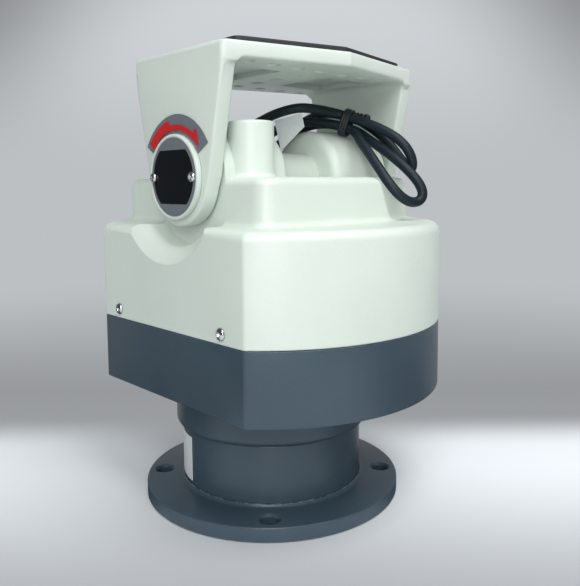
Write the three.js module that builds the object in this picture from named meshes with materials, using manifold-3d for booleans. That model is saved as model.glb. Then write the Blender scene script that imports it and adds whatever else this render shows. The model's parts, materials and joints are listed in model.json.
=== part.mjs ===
// A remote pan tilt head: a flanged base, a body that pans on it and a yoke that tilts on the body.
// Millimetres, +Z up. The origin is the centre of the flange's underside, on the pan axis.
// The tilt axis runs along X, and the front of the head faces -Y.

import * as THREE from "three";
import * as BufferGeometryUtils from "three/addons/utils/BufferGeometryUtils.js";
import Module from "manifold-3d";

const wasm = await Module();
wasm.setup();

// Turns and counts
const quarterTurn = Math.PI / 2;
const halfTurn = Math.PI;
const fullTurn = Math.PI * 2;
const degree = Math.PI / 180;
const wideSides = 48;
const midSides = 28;
const smallSides = 14;
const tinySides = 8;
const roundSteps = 2;
const cornerSteps = 3;

// Clearances and cuts
const seatGap = 0.3;
const overrun = 5;
const castWall = 3.5;

// Base flange and turret
const flangeThickness = 9;
const flangeEdge = 0.9;
const flangeHoleRadius = 5.5;
const flangeHoleInset = 10.15;
const flangeHoleReach = 14.35;
const flangeHoleCount = 4;
const flangeHoleTurn = -42.5 * degree;
const turretHeight = 37.3;
const turretEdge = 1;
const turretFillet = 2.5;
const turretWall = 6;
const turretRoof = 8.5;
const labelTurn = 155 * degree;
const labelWidth = 30;
const labelHeight = 28;
const labelRise = 5;
const labelThickness = 0.4;

// Pan spindle, its screws, its stop and its nut
const spindleBore = 14;
const spindleWall = 8;
const spigotStep = 4;
const spigotDepth = 6;
const spindleFlangeRim = 7;
const spindleFlangeThickness = 6.4;
const spindleShoulderStep = 3.5;
const spindleShoulderHeight = 16.7;
const spindleScrewReach = 9;
const spindleScrewRadius = 2.5;
const spindleScrewHeadRadius = 4.2;
const spindleScrewHeadHeight = 5;
const spindleScrewDepth = 4;
const spindleScrewCount = 4;
const stopReach = 6;
const stopInset = 10;
const stopPinRadius = 2;
const stopPinHeight = 8;
const stopPinDepth = 5;
const stopLugWidth = 4;
const stopLugHeight = 5;
const stopLugRise = 2.5;
const stopLugReach = 3;
const nutWall = 5.5;
const nutHeight = 8;
const nutSlotWidth = 6;
const nutSlotDepth = 3;
const nutSlotCount = 6;
const spindleTail = 2.4;

// Pan bearing and pan gears
const bearingHeight = 12;
const bearingInnerWall = 5;
const bearingOuterWall = 6;
const gearModule = 1.25;
const ringGearTeeth = 60;
const pinionTeeth = 12;
const gearWidth = 8;
const gearHubWall = 6;
const gearHubRise = 2;
const addendumShare = 0.9;
const dedendumShare = 1.2;
const toothTipShare = 0.2;
const toothRootShare = 0.52;

// Skirt: the lower half of the panning body
const bodyRadius = 108;
const bodyBulge = 7.2;
const collarReach = 4.4;
const collarWall = 5;
const collarHeight = 27.2;
const collarEdge = 3;
const skirtHeight = 41.2;
const skirtFloor = 5.2;
const lipHeight = 12;
const lipRoot = 7;
const hubWall = 6;
const hubLipHeight = 3.7;
const hubLipReach = 3.5;

// Gear plate, pan motor and control board
const plateThickness = 3;
const plateInset = 14;
const plateHoleRoom = 2.5;
const postRadius = 5;
const postInset = 24;
const postTurnsShare = [0.22, 0.5, 0.78, 1.22, 1.5, 1.78];
const panMotorTurn = 40 * degree;
const panMotorRadius = 15;
const panMotorLength = 47;
const panMotorTailRadius = 12;
const panMotorTailLength = 10;
const motorPilotRadius = 9;
const motorPilotHeight = 2.5;
const pinionHubRadius = 5;
const pinionShaftRadius = 2.5;
const pinionShaftLength = 14;
const boardLength = 80;
const boardWidth = 34;
const boardThickness = 1.6;
const boardInset = 46;
const boardSideInset = 82.8;
const standoffRadius = 3;
const standoffHeight = 7;
const standoffInset = 5;
const chipHeight = 4;
const chipLengthShares = [0.1, 0.3, 0.16];
const chipPlaceShares = [-0.34, 0.02, 0.34];
const chipWidthShare = 0.5;

// Cover: the upper half of the panning body
const coverLowerHeight = 60.2;
const coverDeckHeight = 27.5;
const shoulderRound = 6;
const deckRound = 5;
const armGap = 1.5;
const deckFront = 64;
const deckRear = 76;
const deckStepNear = 46;
const deckStepRun = 7;
const deckStepSlant = 11;
const deckPillar = 52;
const deckCorner = 8;
const stepCorner = 3;
const dishRadius = 40;
const dishDepth = 9.5;
const dishFlare = 10;
const dishFlareDepth = 11.8;
const dishSteps = 4;
const coverScrewRise = 5.7;
const coverScrewLeft = 53;
const coverScrewRight = 28;
const coverScrewRadius = 1.9;
const coverScrewHeadRadius = 3.5;
const coverScrewHeadHeight = 2;
const coverScrewReach = 8;

// Tilt housings on the deck
const tiltRise = 0.4;
const housingRadius = 31;
const housingWall = 4;
const housingEnd = 11.5;
const housingRound = 6;
const leftHousingLength = 49.5;
const rightHousingLength = 49.5;
const linkRadius = 15.8;
const linkBore = 12;
const bossRadius = 13.3;
const bossRise = 32;
const bossRound = 2.5;
const bossBore = 10.3;
const bossDrop = 20;
const bossSkirt = 3.5;

// Tilt shaft, bearings, worm and wheel
const tiltShaftRadius = 9;
const tiltShaftBore = 4;
const tiltBearingRadius = 17;
const tiltBearingWidth = 9;
const tiltBearingLip = 13;
const wheelTeeth = 36;
const wheelWidth = 6;
const wheelHubRadius = 14;
const wheelHubWidth = 10;
const wheelInset = 20.5;
const wheelRoom = 1.8;
const wormPitchRadius = 6.5;
const wormLength = 17;
const wormTurnSteps = 16;
const wormShaftRadius = 4;
const wormBearingWidth = 6;
const wormToothTipShare = 0.22;
const wormToothRootShare = 0.56;
const wormBite = 0.5;
const tiltMotorRadius = 15;
const tiltMotorLength = 55;
const tiltMotorTailRadius = 11;
const tiltMotorTailLength = 10;
const motorShaftDepth = 10;

// Yoke
const yokeOffset = 10;
const yokeArmWall = 9.5;
const yokeRise = 72.1;
const yokePlate = 8.7;
const yokeArmTop = 11.5;
const yokeHalfDepth = 44;
const yokeApex = 62;
const yokeWaist = 30.5;
const yokeEndRadius = 28.5;
const yokeCorner = 3;
const yokeInnerCorner = 5;
const pocketDepth = 3.3;
const pocketNear = 20;
const pocketInset = 12;
const pocketHalfWidth = 22.5;
const mountHoleRadius = 2.8;
const plateHoleInset = 14;
const frontHoleRow = 37;
const rearHoleRow = 42;
const rowHoleCount = 7;
const midHoles = [-16, 3, 22];
const padThickness = 3;
const padInset = 3.5;
const padCorner = 4;

// Pivot covers and their marks
const capRadius = 24.65;
const capThickness = 2.2;
const capEdge = 0.8;
const filmRadius = 22.5;
const filmThickness = 0.4;
const capScrewOffset = 19.8;
const capScrewRadius = 1.5;
const capScrewHeadRadius = 2.9;
const capScrewHeadHeight = 1.6;
const capScrewReach = 6;
const decalInner = 25.2;
const decalOuter = 36;
const decalHalfTurn = 59 * degree;
const decalThickness = 0.4;
const decalSteps = 20;
const arrowInner = 27;
const arrowOuter = 33.2;
const arrowTailTurn = 53 * degree;
const arrowNeckTurn = -33 * degree;
const arrowTipTurn = -53 * degree;
const arrowBarb = 1.8;
const arrowThickness = 0.3;

// Cable: its lead, its tied hank of loops, and what is on it
const cordRadius = 3.2;
const cordSides = 8;
const hankSides = 6;
const strandGap = 1.1;
const loopSteps = 24;
const leadSteps = 22;
const tailSteps = 20;
const gapSamples = 700;
const tiePlace = new THREE.Vector3(54, -18.5, 240);
const tieHeading = new THREE.Vector3(0.44, -0.84, -0.32).normalize();
const leadRoute = [
  [-2, 45, 216], [-2, 45, 219.5], [-2, 45, 223], [1.5, 36, 232.5], [8.5, 20, 240.4], [14, 8, 245.6],
  [22.5, -4, 248.8], [34, -10, 248.2],
];
const hankLoops = [
  { exit: [1, 1], back: [-1, 1], bend: [62.6, -48.7, 227.1], tip: [68.1, -62.2, 209.1], spread: [-0.04, -0.53, 0.82],
    width: 5.6, neckShare: 0.3 },
  { exit: [-1, 1], back: [-1, -1], bend: [50, 26, 252], tip: [44, 58, 212.5], spread: [0.75, 0.5, 0],
    width: 8.5, neckShare: 0.3 },
  { exit: [-1, -1], back: [1, -1], bend: [46, -71, 210], tip: [62.5, -72.5, 188], spread: [0.75, -0.3, 0.5],
    width: 7.6, neckShare: 1 },
];
const tailRoute = [
  [35, 10, 241], [26, 27, 234.5], [20, 39, 223], [14, 50, 213], [8, 59, 209.6], [1, 63, 209.6],
  [-3, 63, 209.6], [-7, 63, 209.6],
];
const glandBaseRadius = 8;
const glandBaseHeight = 5;
const glandNutRadius = 6.4;
const glandTailRadius = 5;
const glandTailLength = 8;
const glandSides = 6;
const tieLength = 6;
const tieWall = 1.2;
const tieTailRadius = 1.1;
const tieTailLength = 15;
const tieTailLean = 14;
const tagStart = [13, 10.5, 244.6];
const tagEnd = [23.5, -4.6, 248.9];
const tagLongDrop = 21;
const tagShortDrop = 9;
const tagThickness = 0.5;
const plugRadius = 6;
const plugLength = 13;
const plugBootRadius = 4.6;
const plugBootLength = 7;

// Radii that follow from the spindle's bore, from the inside out
const spindleRadius = spindleBore + spindleWall;
const spindleShoulderRadius = spindleRadius + spindleShoulderStep;
const spigotRadius = spindleRadius + spigotStep;
const spindleScrewCircle = spigotRadius + spindleScrewReach;
const spindleFlangeRadius = spindleScrewCircle + spindleFlangeRim;
const stopCircle = spindleFlangeRadius + stopReach;
const turretRadius = stopCircle + stopInset;
const flangeHoleCircle = turretRadius + flangeHoleReach;
const flangeRadius = flangeHoleCircle + flangeHoleInset;
const collarRadius = turretRadius + collarReach;
const bearingRaceRadius = spindleRadius + bearingInnerWall;
const bearingOuterRadius = bearingRaceRadius + bearingOuterWall;
const hubLipRadius = bearingOuterRadius - hubLipReach;
const gearHubRadius = spindleRadius + gearHubWall;
const nutRadius = spindleRadius + nutWall;
const plateHoleRadius = nutRadius + plateHoleRoom;

// Widths that follow from the panning body's radius, from the outside in
const bodyRight = bodyRadius - bodyBulge;
const deckRight = bodyRight - dishDepth - dishFlareDepth;
const yokeInner = deckRight + armGap - yokeOffset;
const yokeHalfWidth = yokeInner + yokeArmWall;
const pocketFar = yokeInner - pocketInset;
const plateHolePitch = (yokeInner - plateHoleInset) * 2 / (rowHoleCount - 1);
const deckLeft = yokeInner - yokeOffset - armGap;
const bodyLeft = deckLeft + dishDepth + dishFlareDepth;
const postCircle = bodyRadius - postInset;
const boardForward = bodyRadius - boardInset;
const boardCentre = bodyRight - boardSideInset;

// Heights and places that follow from the sizes above
const turretTop = flangeThickness + turretHeight;
const collarLow = turretTop + seatGap;
const skirtLow = collarLow + collarHeight;
const skirtTop = skirtLow + skirtHeight;
const skirtFloorTop = skirtLow + skirtFloor;
const spindleFlangeTop = collarLow + spindleFlangeThickness;
const shoulderTop = spindleFlangeTop + spindleShoulderHeight;
const bearingLow = shoulderTop + seatGap;
const bearingTop = bearingLow + bearingHeight;
const gearLow = bearingTop + seatGap;
const gearTop = gearLow + gearHubRise + gearWidth;
const nutLow = gearTop + seatGap;
const nutTop = nutLow + nutHeight;
const spindleTop = nutTop + spindleTail;
const ringGearPitch = ringGearTeeth * gearModule / 2;
const pinionPitch = pinionTeeth * gearModule / 2;
const gearCentres = ringGearPitch + pinionPitch;
const plateLow = gearTop + motorPilotHeight + seatGap;
const plateTop = plateLow + plateThickness;
const coverLow = skirtTop + seatGap;
const shoulderHeight = coverLow + coverLowerHeight;
const deckHeight = shoulderHeight + coverDeckHeight;
const tiltHeight = deckHeight + tiltRise;
const wheelPitch = wheelTeeth * gearModule / 2;
const wheelX = -deckLeft + wheelInset;
const wormY = -(wheelPitch + wormPitchRadius);
const wormLow = tiltHeight - wormLength / 2;
const bossTop = deckHeight + bossRise;
const bossLow = deckHeight - bossDrop;
const coverScrewHeight = coverLow + coverScrewRise;

// Finishes
function finish(color, roughness, metalness) {
  return new THREE.MeshStandardMaterial({ color, roughness, metalness });
}
const palePaint = finish(0xd3dcd3, 0.45, 0);
const slatePaint = finish(0x4a5059, 0.42, 0.1);
const blackRubber = finish(0x1f2226, 0.7, 0);
const cableRubber = finish(0x20252d, 0.62, 0);
const steel = finish(0x9a9ea3, 0.3, 1);
const brightSteel = finish(0xc3c7ca, 0.25, 1);
const brass = finish(0xb08d4c, 0.35, 1);
const blackFilm = finish(0x17181a, 0.12, 0);
const whiteFilm = finish(0xe9eaea, 0.5, 0);
const greyFilm = finish(0x8f9396, 0.4, 0);
const redFilm = finish(0xc8242b, 0.4, 0);
const motorGrey = finish(0x53575c, 0.4, 0.6);
const boardGreen = finish(0x1f5a3a, 0.5, 0);

// A closed mesh as a solid that can be joined and cut.
function toSolid(geometry) {
  const bare = geometry.index ? geometry.toNonIndexed() : geometry.clone();
  bare.deleteAttribute("normal");
  bare.deleteAttribute("uv");
  const merged = BufferGeometryUtils.mergeVertices(bare);
  const corners = merged.index.array;
  const kept = [];
  for (let i = 0; i < corners.length; i += 3) {
    const [a, b, c] = [corners[i], corners[i + 1], corners[i + 2]];
    if (a !== b && b !== c && c !== a) kept.push(a, b, c);
  }
  return new wasm.Manifold(new wasm.Mesh({
    numProp: 3,
    vertProperties: Float32Array.from(merged.attributes.position.array),
    triVerts: Uint32Array.from(kept),
  }));
}

// A solid back as a mesh's geometry.
function toGeometry(solid) {
  const mesh = solid.getMesh();
  const geometry = new THREE.BufferGeometry();
  geometry.setAttribute("position", new THREE.BufferAttribute(Float32Array.from(mesh.vertProperties), 3));
  geometry.setIndex(new THREE.BufferAttribute(Uint32Array.from(mesh.triVerts), 1));
  geometry.computeVertexNormals();
  return geometry;
}

// Adds one named piece to a group.
function addPiece(group, name, shape, material) {
  const geometry = shape.getMesh ? toGeometry(shape) : shape;
  const mesh = new THREE.Mesh(geometry, material);
  mesh.name = name;
  group.add(mesh);
  return mesh;
}

// A round bar along Z between two heights.
function barZ(radius, low, high, sides, x = 0, y = 0) {
  const geometry = new THREE.CylinderGeometry(radius, radius, high - low, sides);
  geometry.rotateX(quarterTurn);
  geometry.translate(x, y, (low + high) / 2);
  return toSolid(geometry);
}

// A round bar along X between two places.
function barX(radius, low, high, sides, y = 0, z = 0) {
  const geometry = new THREE.CylinderGeometry(radius, radius, high - low, sides);
  geometry.rotateZ(-quarterTurn);
  geometry.translate((low + high) / 2, y, z);
  return toSolid(geometry);
}

// A block between two corners.
function block(lowX, highX, lowY, highY, lowZ, highZ) {
  const geometry = new THREE.BoxGeometry(highX - lowX, highY - lowY, highZ - lowZ);
  geometry.translate((lowX + highX) / 2, (lowY + highY) / 2, (lowZ + highZ) / 2);
  return toSolid(geometry);
}

// A turned piece: pairs of radius and height, counter-clockwise, spun about Z.
function turned(profile, sides) {
  const points = [...profile, profile[0]].map(([radius, height]) => new THREE.Vector2(radius, height));
  const geometry = new THREE.LatheGeometry(points, sides);
  geometry.rotateX(quarterTurn);
  return toSolid(geometry);
}

// Lays a piece that was made along Z down along X: its X goes on Y, its Y on Z and its Z on X.
const alongX = new THREE.Matrix4().makeBasis(
  new THREE.Vector3(0, 1, 0),
  new THREE.Vector3(0, 0, 1),
  new THREE.Vector3(1, 0, 0),
);

// An outline raised along Z.
function prism(shape, low, high) {
  const geometry = new THREE.ExtrudeGeometry(shape, {
    depth: high - low,
    bevelEnabled: false,
    curveSegments: cornerSteps,
  });
  geometry.translate(0, 0, low);
  return geometry;
}

// A closed body through outlines of equally many points, each at its own height.
function loft(layers) {
  const rings = layers.map(([shape, height]) => {
    const points = shape.getPoints(cornerSteps);
    if (points[0].distanceTo(points[points.length - 1]) < Number.EPSILON) points.pop();
    return points.map((point) => new THREE.Vector3(point.x, point.y, height));
  });
  const count = rings[0].length;
  const positions = rings.flat().flatMap((point) => [point.x, point.y, point.z]);
  const faces = [];
  for (let i = 0; i < rings.length - 1; i += 1) {
    for (let j = 0; j < count; j += 1) {
      const [a, b] = [i * count + j, i * count + (j + 1) % count];
      faces.push(a, b, a + count, b, b + count, a + count);
    }
  }
  const last = (rings.length - 1) * count;
  for (const [a, b, c] of THREE.ShapeUtils.triangulateShape(rings[0], [])) faces.push(c, b, a);
  for (const [a, b, c] of THREE.ShapeUtils.triangulateShape(rings[rings.length - 1], [])) {
    faces.push(last + a, last + b, last + c);
  }
  return new wasm.Manifold(new wasm.Mesh({
    numProp: 3,
    vertProperties: Float32Array.from(positions),
    triVerts: Uint32Array.from(faces),
  }));
}

// An outline raised along Z whose top edge is rounded.
function domed(outline, low, high, round) {
  const layers = [[outline(0, low), low]];
  for (let i = 0; i <= roundSteps; i += 1) {
    const turn = quarterTurn * i / roundSteps;
    const height = high - round * (1 - Math.sin(turn));
    layers.push([outline(round * (1 - Math.cos(turn)), height), height]);
  }
  return loft(layers);
}

// A closed outline through points, each corner rounded by its own radius.
function roundedOutline(corners) {
  const shape = new THREE.Shape();
  const count = corners.length;
  corners.forEach(([x, y, radius], i) => {
    const here = new THREE.Vector2(x, y);
    const before = new THREE.Vector2(...corners[(i + count - 1) % count]).sub(here).normalize();
    const after = new THREE.Vector2(...corners[(i + 1) % count]).sub(here).normalize();
    const start = here.clone().addScaledVector(before, radius);
    const end = here.clone().addScaledVector(after, radius);
    if (i === 0) shape.moveTo(start.x, start.y);
    else shape.lineTo(start.x, start.y);
    if (radius > 0) shape.quadraticCurveTo(here.x, here.y, end.x, end.y);
  });
  shape.closePath();
  return shape;
}

// The plan of the panning body: a circle with a flat on each side, drawn in by an inset.
function bodyOutline(inset) {
  const radius = bodyRadius - inset;
  const left = bodyLeft - inset;
  const right = bodyRight - inset;
  const leftTurn = Math.acos(left / radius);
  const rightTurn = Math.acos(right / radius);
  const frontFrom = -halfTurn + leftTurn;
  const frontTo = -rightTurn;
  const rearFrom = rightTurn;
  const rearTo = halfTurn - leftTurn;
  const points = [];
  const steps = midSides / 2;
  for (const [from, to] of [[frontFrom, frontTo], [rearFrom, rearTo]]) {
    for (let i = 0; i <= steps; i += 1) {
      const turn = from + (to - from) * i / steps;
      points.push(new THREE.Vector2(radius * Math.cos(turn), radius * Math.sin(turn)));
    }
  }
  return new THREE.Shape(points);
}

// The plan of the raised deck at a height, drawn in by an inset: the steps slant back as they rise.
function deckOutline(inset, height) {
  const left = -deckLeft + inset;
  const right = deckRight - inset;
  const front = -deckFront + inset;
  const rear = deckRear - inset;
  const pillar = deckPillar - inset;
  const slant = deckStepSlant * Math.max(0, height - shoulderHeight) / coverDeckHeight;
  const stepNear = deckStepNear - slant - inset;
  const stepFar = stepNear + deckStepRun;
  return roundedOutline([
    [left, front, deckCorner],
    [stepNear, front, stepCorner],
    [stepFar, -pillar, stepCorner],
    [right, -pillar, deckCorner],
    [right, pillar, deckCorner],
    [stepFar, pillar, stepCorner],
    [stepNear, rear, stepCorner],
    [left, rear, deckCorner],
  ]);
}

// A toothed outline: straight-sided teeth, the first one centred on the turn given.
function gearOutline(teeth, pitchRadius, firstTurn) {
  const tip = pitchRadius + gearModule * addendumShare;
  const root = pitchRadius - gearModule * dedendumShare;
  const pitch = fullTurn / teeth;
  const points = [];
  for (let i = 0; i < teeth; i += 1) {
    const turn = firstTurn + pitch * i;
    for (const [radius, share] of [[root, -toothRootShare], [tip, -toothTipShare], [tip, toothTipShare],
      [root, toothRootShare]]) {
      const corner = turn + pitch * share / 2;
      points.push(new THREE.Vector2(radius * Math.cos(corner), radius * Math.sin(corner)));
    }
  }
  return new THREE.Shape(points);
}

// Copies of a cutter or a boss, joined, spaced evenly about Z.
function ringOf(count, firstTurn, make) {
  let whole = null;
  for (let i = 0; i < count; i += 1) {
    const one = make(firstTurn + fullTurn * i / count);
    whole = whole ? whole.add(one) : one;
  }
  return whole;
}

// A screw along Z that hangs from its head, whose underside is at a height of zero.
function screw(radius, headRadius, headHeight, reach) {
  return barZ(headRadius, 0, headHeight, tinySides).add(barZ(radius, -reach, headHeight / 2, tinySides));
}

const part = new THREE.Group();
const head = new THREE.Group();
const yoke = new THREE.Group();
part.add(head);
part.add(yoke);
yoke.position.set(yokeOffset, 0, tiltHeight);

// Base: the hollow turret, and the mounting flange that is pressed on round its foot.
function makeBase() {
  const roofLow = turretTop - turretRoof;
  const inside = turretRadius - turretWall;
  const turret = turned([
    [inside, 0],
    [turretRadius, 0],
    [turretRadius, turretTop - turretEdge],
    [turretRadius - turretEdge, turretTop],
    [spigotRadius + seatGap, turretTop],
    [spigotRadius + seatGap, roofLow],
    [inside, roofLow],
  ], wideSides);
  const flangeInside = turretRadius + seatGap;
  const flange = turned([
    [flangeInside, 0],
    [flangeRadius - flangeEdge, 0],
    [flangeRadius, flangeEdge],
    [flangeRadius, flangeThickness - flangeEdge],
    [flangeRadius - flangeEdge, flangeThickness],
    [flangeInside + turretFillet, flangeThickness],
    [flangeInside, flangeThickness + turretFillet],
  ], wideSides);
  const holes = ringOf(flangeHoleCount, flangeHoleTurn, (turn) => barZ(
    flangeHoleRadius, -overrun, flangeThickness + overrun, smallSides,
    flangeHoleCircle * Math.cos(turn), flangeHoleCircle * Math.sin(turn)));
  const screwHoles = ringOf(spindleScrewCount, 0, (turn) => barZ(
    spindleScrewRadius + seatGap, turretTop - spindleScrewDepth - seatGap, turretTop + overrun, tinySides,
    spindleScrewCircle * Math.cos(turn), spindleScrewCircle * Math.sin(turn)));
  const stopHole = barZ(
    stopPinRadius + seatGap, turretTop - stopPinDepth - seatGap, turretTop + overrun, tinySides,
    0, stopCircle);
  addPiece(part, "base_flange", flange.subtract(holes), slatePaint);
  addPiece(part, "base_turret", turret.subtract(screwHoles).subtract(stopHole), slatePaint);
}

// Spindle: the fixed hollow post that carries the panning body.
function makeSpindle() {
  const body = turned([
    [spindleBore, collarLow - spigotDepth],
    [spigotRadius, collarLow - spigotDepth],
    [spigotRadius, collarLow],
    [spindleFlangeRadius, collarLow],
    [spindleFlangeRadius, spindleFlangeTop],
    [spindleShoulderRadius, spindleFlangeTop],
    [spindleShoulderRadius, shoulderTop],
    [spindleRadius, shoulderTop],
    [spindleRadius, spindleTop],
    [spindleBore, spindleTop],
  ], midSides);
  const holes = ringOf(spindleScrewCount, 0, (turn) => barZ(
    spindleScrewRadius + seatGap, collarLow - overrun, spindleFlangeTop + overrun, tinySides,
    spindleScrewCircle * Math.cos(turn), spindleScrewCircle * Math.sin(turn)));
  addPiece(part, "pan_spindle", body.subtract(holes), steel);
  const reach = seatGap + spindleFlangeThickness + seatGap + spindleScrewDepth;
  for (let i = 0; i < spindleScrewCount; i += 1) {
    const turn = fullTurn * i / spindleScrewCount;
    const solid = screw(spindleScrewRadius, spindleScrewHeadRadius, spindleScrewHeadHeight, reach);
    const mesh = addPiece(part, `spindle_screw_${i + 1}`, solid, brightSteel);
    mesh.position.set(
      spindleScrewCircle * Math.cos(turn), spindleScrewCircle * Math.sin(turn), spindleFlangeTop + seatGap);
  }
  const pin = barZ(
    stopPinRadius, turretTop - stopPinDepth, turretTop + stopPinHeight, tinySides, 0, stopCircle);
  addPiece(part, "pan_stop_pin", pin, brightSteel);
}

// The pan bearing's two races: the inner one stays on the spindle, the outer one turns with the body.
function makePanBearing() {
  const inner = spindleRadius + seatGap;
  const race = [
    [inner, bearingLow], [bearingRaceRadius, bearingLow],
    [bearingRaceRadius, bearingTop], [inner, bearingTop],
  ];
  addPiece(part, "pan_bearing_inner", turned(race, midSides), brightSteel);
  const outerLow = bearingRaceRadius + seatGap;
  const outer = [
    [outerLow, bearingLow], [bearingOuterRadius, bearingLow], [bearingOuterRadius, bearingTop],
    [outerLow, bearingTop],
  ];
  addPiece(head, "pan_bearing_outer", turned(outer, midSides), brightSteel);
}

// The fixed ring gear, the nut above it and the pinion that walks round it.
function makePanGears() {
  const teethLow = gearLow + gearHubRise;
  const bore = barZ(spindleRadius + seatGap, gearLow - overrun, gearTop + overrun, midSides);
  const teeth = toSolid(prism(gearOutline(ringGearTeeth, ringGearPitch, panMotorTurn), teethLow, gearTop));
  const hub = barZ(gearHubRadius, gearLow, gearTop - gearWidth / 2, midSides);
  addPiece(part, "pan_ring_gear", teeth.add(hub).subtract(bore), steel);

  const slots = ringOf(nutSlotCount, 0, (turn) => block(
    nutRadius - nutSlotDepth, nutRadius + overrun, -nutSlotWidth / 2, nutSlotWidth / 2,
    nutLow - overrun, nutTop + overrun).rotate([0, 0, turn / degree]));
  const nut = barZ(nutRadius, nutLow, nutTop, midSides).subtract(
    barZ(spindleRadius + seatGap, nutLow - overrun, nutTop + overrun, midSides));
  addPiece(part, "spindle_nut", nut.subtract(slots), steel);

  const firstTurn = panMotorTurn + halfTurn + halfTurn / pinionTeeth;
  const shaftTop = gearTop + motorPilotHeight + pinionShaftLength;
  const pinion = toSolid(prism(gearOutline(pinionTeeth, pinionPitch, firstTurn), teethLow, gearTop))
    .add(barZ(pinionHubRadius, gearTop - gearWidth / 2, gearTop + motorPilotHeight / 2, smallSides))
    .add(barZ(pinionShaftRadius, gearTop, shaftTop, tinySides));
  const mesh = addPiece(part, "pan_pinion", pinion, brass);
  mesh.position.set(gearCentres * Math.cos(panMotorTurn), gearCentres * Math.sin(panMotorTurn), 0);
}

// A bare label on the turret's side.
function makeLabel() {
  const inner = turretRadius + seatGap;
  const outer = inner + labelThickness;
  const halfSpan = labelWidth / turretRadius / 2;
  const points = [];
  for (const [radius, from, to] of [[outer, -halfSpan, halfSpan], [inner, halfSpan, -halfSpan]]) {
    for (let i = 0; i <= cornerSteps * 2; i += 1) {
      const turn = labelTurn + from + (to - from) * i / (cornerSteps * 2);
      points.push(new THREE.Vector2(radius * Math.cos(turn), radius * Math.sin(turn)));
    }
  }
  const low = flangeThickness + labelRise;
  addPiece(part, "turret_label", prism(new THREE.Shape(points), low, low + labelHeight), whiteFilm);
}

// Places of the posts that carry the gear plate.
function postPlaces() {
  return postTurnsShare.map((share) => {
    const turn = share * halfTurn;
    return [postCircle * Math.cos(turn), postCircle * Math.sin(turn)];
  });
}

// Skirt: the collar over the turret, the floor, the bearing hub, the outer wall and the lip for the cover.
function makeSkirt() {
  const hubRadius = bearingOuterRadius + seatGap + hubWall;
  const hubLow = bearingLow - hubLipHeight;
  const collarInside = collarRadius - collarWall;
  const collar = turned([
    [collarInside, collarLow],
    [collarRadius - collarEdge, collarLow],
    [collarRadius, collarLow + collarEdge],
    [collarRadius, skirtLow + skirtFloor / 2],
    [collarInside, skirtLow + skirtFloor / 2],
  ], wideSides);
  const hub = barZ(hubRadius, hubLow, bearingTop, midSides);
  const bore = barZ(bearingOuterRadius + seatGap, bearingLow - seatGap, bearingTop + overrun, midSides)
    .add(barZ(hubLipRadius, hubLow - overrun, bearingTop + overrun, midSides));
  const shell = toSolid(prism(bodyOutline(0), skirtLow, skirtTop)).subtract(
    toSolid(prism(bodyOutline(castWall * 2), skirtFloorTop, skirtTop + overrun)));
  const lip = toSolid(prism(bodyOutline(castWall + seatGap), skirtTop - lipRoot, skirtTop + lipHeight))
    .subtract(toSolid(prism(bodyOutline(castWall * 2), skirtTop - lipRoot - overrun,
      skirtTop + lipHeight + overrun)));
  const lug = block(
    -stopLugWidth / 2, stopLugWidth / 2, -collarInside - collarWall / 2, -stopCircle + stopLugReach,
    collarLow + stopLugRise, collarLow + stopLugRise + stopLugHeight);
  let body = shell.add(lip).add(collar).add(hub).subtract(bore).add(lug);
  for (const [x, y] of postPlaces()) {
    body = body.add(barZ(postRadius, skirtLow + skirtFloor / 2, plateLow - seatGap, tinySides, x, y));
  }
  body = body.subtract(coverScrewHoles(coverScrewRadius + seatGap));
  addPiece(head, "skirt_casting", body, slatePaint);
}

// Places of the cover's screws: side of the body, and place along its flat.
const coverScrewPlaces = [
  [-1, -coverScrewLeft], [-1, coverScrewLeft], [1, -coverScrewRight], [1, coverScrewRight],
];

// The holes for the cover's screws, through the cover's wall and into the lip.
function coverScrewHoles(radius) {
  let holes = null;
  for (const [side, y] of coverScrewPlaces) {
    const face = side < 0 ? bodyLeft : bodyRight;
    const ends = [side * (face + overrun), side * (face - coverScrewReach - overrun)];
    const hole = barX(radius, Math.min(...ends), Math.max(...ends), tinySides, y, coverScrewHeight);
    holes = holes ? holes.add(hole) : hole;
  }
  return holes;
}

// The four screws that hold the cover.
function makeCoverScrews() {
  coverScrewPlaces.forEach(([side, y], i) => {
    const geometry = toGeometry(
      screw(coverScrewRadius, coverScrewHeadRadius, coverScrewHeadHeight, coverScrewReach));
    geometry.applyMatrix4(alongX);
    const mesh = addPiece(head, `cover_screw_${i + 1}`, geometry, brightSteel);
    const face = (side < 0 ? bodyLeft : bodyRight) + seatGap;
    mesh.position.set(side * face, y, coverScrewHeight);
    if (side < 0) mesh.rotation.z = halfTurn;
  });
}

// A turned cutter about the tilt axis: the dish that each yoke arm's round end swings in.
function dish(side) {
  const floor = side < 0 ? deckLeft : deckRight;
  const face = side < 0 ? bodyLeft : bodyRight;
  const straight = floor + dishDepth;
  const profile = [[0, floor], [dishRadius, floor], [dishRadius, straight]];
  for (let i = 1; i <= dishSteps; i += 1) {
    const share = i / dishSteps;
    profile.push([dishRadius + dishFlare * share * share, straight + (face - straight) * share]);
  }
  profile.push([dishRadius + dishFlare, face + overrun], [0, face + overrun]);
  const points = profile.map(([radius, place]) => new THREE.Vector2(radius, place));
  const geometry = new THREE.LatheGeometry(points, wideSides);
  geometry.rotateZ(-quarterTurn);
  if (side < 0) geometry.rotateZ(halfTurn);
  geometry.translate(0, 0, tiltHeight);
  return toSolid(geometry);
}

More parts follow.
